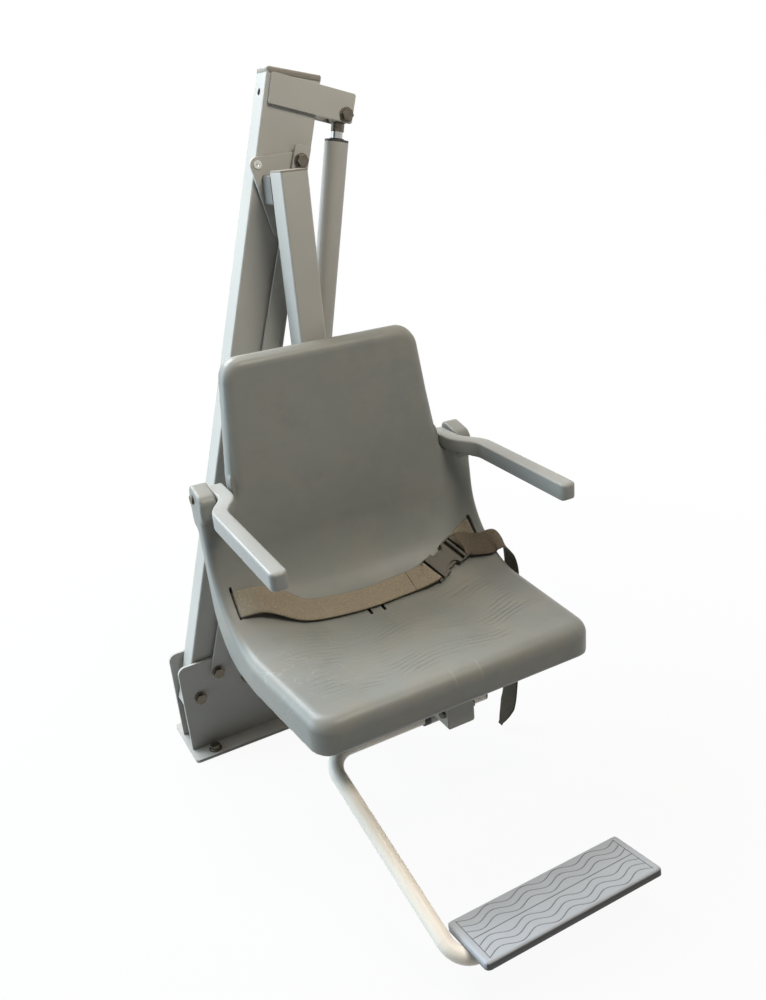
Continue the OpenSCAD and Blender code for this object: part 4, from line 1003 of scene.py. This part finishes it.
def footrest_plate():
    us, vs = spaced(FOOT_L, FOOT_STEP * 1.2), spaced(FOOT_W, FOOT_STEP * 0.75)
    u, v = np.meshgrid(us, vs, indexing="ij")
    e = np.minimum(np.minimum(u, FOOT_L - u), np.minimum(v, FOOT_W - v))
    fall = FOOT_R - np.sqrt(np.clip(FOOT_R ** 2 - np.clip(FOOT_R - e, 0, None) ** 2, 0, None))
    deep = groove_depth(u, v)
    top = -fall - GROOVE * deep

    # the grid's square corners are drawn in to round ones
    centre_u = np.where(u < FOOT_L / 2, FOOT_CORNER, FOOT_L - FOOT_CORNER)
    centre_v = np.where(v < FOOT_W / 2, FOOT_CORNER, FOOT_W - FOOT_CORNER)
    a, b = (u - centre_u) / FOOT_CORNER, (v - centre_v) / FOOT_CORNER
    corner = (np.where(u < FOOT_L / 2, -a, a) > 0) & (np.where(v < FOOT_W / 2, -b, b) > 0)
    pu = np.where(corner, centre_u + FOOT_CORNER * a * np.sqrt(clamped(1 - b * b / 2)), u)
    pv = np.where(corner, centre_v + FOOT_CORNER * b * np.sqrt(clamped(1 - a * a / 2)), v)

    verts = []
    for z in (top, underside(u, v)):
        y = pv * math.cos(FOOT_TILT) - z * math.sin(FOOT_TILT)
        w = pv * math.sin(FOOT_TILT) + z * math.cos(FOOT_TILT)
        verts.append(np.stack([SEAT_X * 1000 + FOOT_X + pu, y + FOOT_Y, w + FOOT_Z], -1).reshape(-1, 3))
    verts = np.concatenate(verts) / 1000
    faces = []
    nu, nv = u.shape
    base = nu * nv
    for i in range(nu - 1):
        for j in range(nv - 1):
            q = i * nv + j
            faces.append((q, q + nv, q + nv + 1, q + 1))
            faces.append((base + q, base + q + 1, base + q + nv + 1, base + q + nv))
    ring = [(i, 0) for i in range(nu)] + [(nu - 1, j) for j in range(1, nv)]
    ring += [(i, nv - 1) for i in range(nu - 2, -1, -1)] + [(0, j) for j in range(nv - 2, 0, -1)]
    for (i, j), (m, n) in zip(ring, ring[1:] + ring[:1]):
        faces.append((i * nv + j, base + i * nv + j, base + m * nv + n, m * nv + n))
    ob = new_object("footrest_tread", verts, faces)

    # painted shade: the grooves and the long sides darken with their depth or nearness to the edge, and the
    # whole underside is set to 0.9
    painted_shade = ob.data.color_attributes.new("groove", "FLOAT_COLOR", "POINT")
    side = np.clip(1.2 - np.minimum(v, FOOT_W - v) / 1.2, 0, 1)
    shade = np.concatenate([np.maximum(deep, side).ravel(), np.full(base, 0.9)])
    painted_shade.data.foreach_set("color", np.repeat(shade[:, None], 4, 1).ravel())
    give(ob, foot_mat)
    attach(ob, "footrest")
    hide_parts("footrest_plate")


footrest_plate()


# Cap on the mast
CAP_LEAN = math.radians(12.077)       # the mast's lean at rest
CAP_HALF_A, CAP_HALF_B = 51.6, 26.2   # half its sides, in the plane of the lean and across it
CAP_MID = -30.9                       # its middle, beside the line through the origin along the mast
CAP_R, CAP_EDGE_R = 6.0, 3.2          # rounding of its corners and of its upper edges
CAP_LOW, CAP_TOP = 1267.0, 1277.6     # along the mast


def mast_cap():
    """A low cap with round corners and edges, built up of rings drawn in towards its top."""
    k = 24
    levels = [(CAP_LOW, 1.2), (CAP_LOW + 0.4, 0.4), (CAP_LOW + 1.4, 0.0)]
    levels += [(CAP_TOP - CAP_EDGE_R * (1 - math.sin(t)), CAP_EDGE_R * (1 - math.cos(t)))
               for t in np.linspace(0, math.pi / 2, 6)]
    verts = []
    for z, pull in levels:
        for q in range(k):
            a = TURN * (q + 0.5) / k
            t = math.atan2(abs(math.sin(a)), abs(math.cos(a)))
            at = CAP_HALF_A - CAP_R + (CAP_R - pull) * math.cos(t)
            at = math.copysign(1, math.cos(a)) * at + CAP_MID
            bt = CAP_HALF_B - CAP_R + (CAP_R - pull) * math.sin(t)
            bt = math.copysign(1, math.sin(a)) * bt
            x = at * math.cos(CAP_LEAN) + z * math.sin(CAP_LEAN)
            verts.append((x * MM, bt * MM, (-at * math.sin(CAP_LEAN) + z * math.cos(CAP_LEAN)) * MM))
    faces = skin_faces(len(levels), k)
    faces.append(tuple(range(k))[::-1])
    faces.append(tuple(range((len(levels) - 1) * k, len(levels) * k)))
    ob = new_object("mast_cap_moulding", verts, faces)
    give(ob, cap_mat)
    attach(ob, "mast")
    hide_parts("mast_cap")


mast_cap()


# Backdrop, light and camera
def background_rays(nt):
    """1 for the rays that see the white background: those of the camera, of gloss and of transmission."""
    path = nt.nodes.new("ShaderNodeLightPath")
    total = path.outputs["Is Camera Ray"]
    for kind in ("Is Glossy Ray", "Is Transmission Ray"):
        both = nt.nodes.new("ShaderNodeMath")
        both.operation = "MAXIMUM"
        nt.links.new(total, both.inputs[0])
        nt.links.new(path.outputs[kind], both.inputs[1])
        total = both.outputs[0]
    return total


def floor():
    """A pale floor just under the base, seen as white, with some of its shadow kept near the lift."""
    size, level, kept, near, far = 14.0, -0.0006, 0.94, 0.6, 1.6
    corners = [(-size, -size, level), (size, -size, level), (size, size, level), (-size, size, level)]
    ob = new_object("floor", corners, [(0, 1, 2, 3)])
    n = Net("floor_pale")
    n.set(Base_Color=(0.42, 0.42, 0.42, 1.0), Roughness=0.9, Specular_IOR_Level=0.1)
    shine = n.node("Emission", Color=(1, 1, 1, 1), Strength=1.0)
    x, y, _ = n.axes()
    away = n.math("SQRT", n.add(n.math("POWER", n.sub(x, 0.15), 2.0), n.math("POWER", n.add(y, 0.25), 2.0)))
    blend = n.node("MixShader")
    n.put(blend.inputs[0], n.mul(background_rays(n.nt), n.ramp(away, near, far, kept, 1.0)))
    n.link(n.bsdf.outputs[0], blend.inputs[1])
    n.link(shine.outputs[0], blend.inputs[2])
    n.link(blend.outputs[0], n.out.inputs[0])
    give(ob, n.mat)


def world():
    """White for the rays that see the background, and almost no light from it on anything else."""
    sky = bpy.data.worlds.new("studio")
    bpy.context.scene.world = sky
    sky.use_nodes = True
    nt = sky.node_tree
    nt.nodes.clear()
    out = nt.nodes.new("ShaderNodeOutputWorld")
    mix = nt.nodes.new("ShaderNodeMixShader")
    nt.links.new(background_rays(nt), mix.inputs[0])
    for slot, colour, strength in ((1, (0.93, 0.96, 1.0, 1), 0.04), (2, (1, 1, 1, 1), 1.0)):
        light = nt.nodes.new("ShaderNodeBackground")
        light.inputs[0].default_value = colour
        light.inputs[1].default_value = strength
        nt.links.new(light.outputs[0], mix.inputs[slot])
    nt.links.new(mix.outputs[0], out.inputs[0])


LAMPS = (    # name, place, aim, size, watts, colour
    ("left", (-2.7, 1.3, 1.3), (0.1, -0.2, 0.6), (2.6, 2.0), 102, (0.66, 0.86, 1.0)),
    ("back_top", (-0.8, 1.8, 3.0), (0.1, -0.2, 0.6), (2.0, 2.0), 212, (0.83, 0.91, 1.0)),
    ("top", (0.1, 0.5, 3.2), (0.1, -0.3, 0.4), (1.8, 1.8), 30, (1.0, 0.82, 0.64)),
    ("front", (0.6, -1.3, 2.4), (0.1, 0.0, 1.2), (0.8, 0.8), 31, (1.0, 0.96, 0.86)),
    ("right", (3.0, -1.0, 1.6), (0.1, -0.2, 0.6), (1.8, 1.8), 6, (1.0, 0.97, 0.93)),
)


def lamp(name, at, aim, size, power, colour):
    data = bpy.data.lights.new(name, "AREA")
    data.shape = "RECTANGLE"
    data.size, data.size_y = size
    data.energy = power
    data.color = colour
    ob = linked(name, data)
    ob.location = at
    ob.rotation_euler = (Vector(aim) - Vector(at)).to_track_quat("-Z", "Y").to_euler()


def camera():
    """The photograph's camera: its angles in radians, its focal length and width in pixels."""
    turn, pitch, roll, focal, width = 0.4639, 0.3873, -0.0920, 923.1, 766.0
    place = Vector((-0.4755, -1.6359, 1.1609))
    forward = Vector((math.sin(turn) * math.cos(pitch), math.cos(turn) * math.cos(pitch), -math.sin(pitch)))
    level = Vector((math.cos(turn), -math.sin(turn), 0))
    upright = level.cross(forward)
    right = math.cos(roll) * level + math.sin(roll) * upright
    up = -math.sin(roll) * level + math.cos(roll) * upright
    data = bpy.data.cameras.new("camera")
    data.sensor_fit = "HORIZONTAL"
    data.sensor_width = 36.0
    data.lens = focal / width * data.sensor_width
    data.clip_start, data.clip_end = 0.05, 60.0
    ob = linked("camera", data)
    m = Matrix((right, up, -forward)).transposed().to_4x4()
    m.translation = place
    ob.matrix_world = m
    bpy.context.scene.camera = ob


floor()
world()
for values in LAMPS:
    lamp(*values)
camera()
bpy.context.scene.view_settings.view_transform = "Standard"
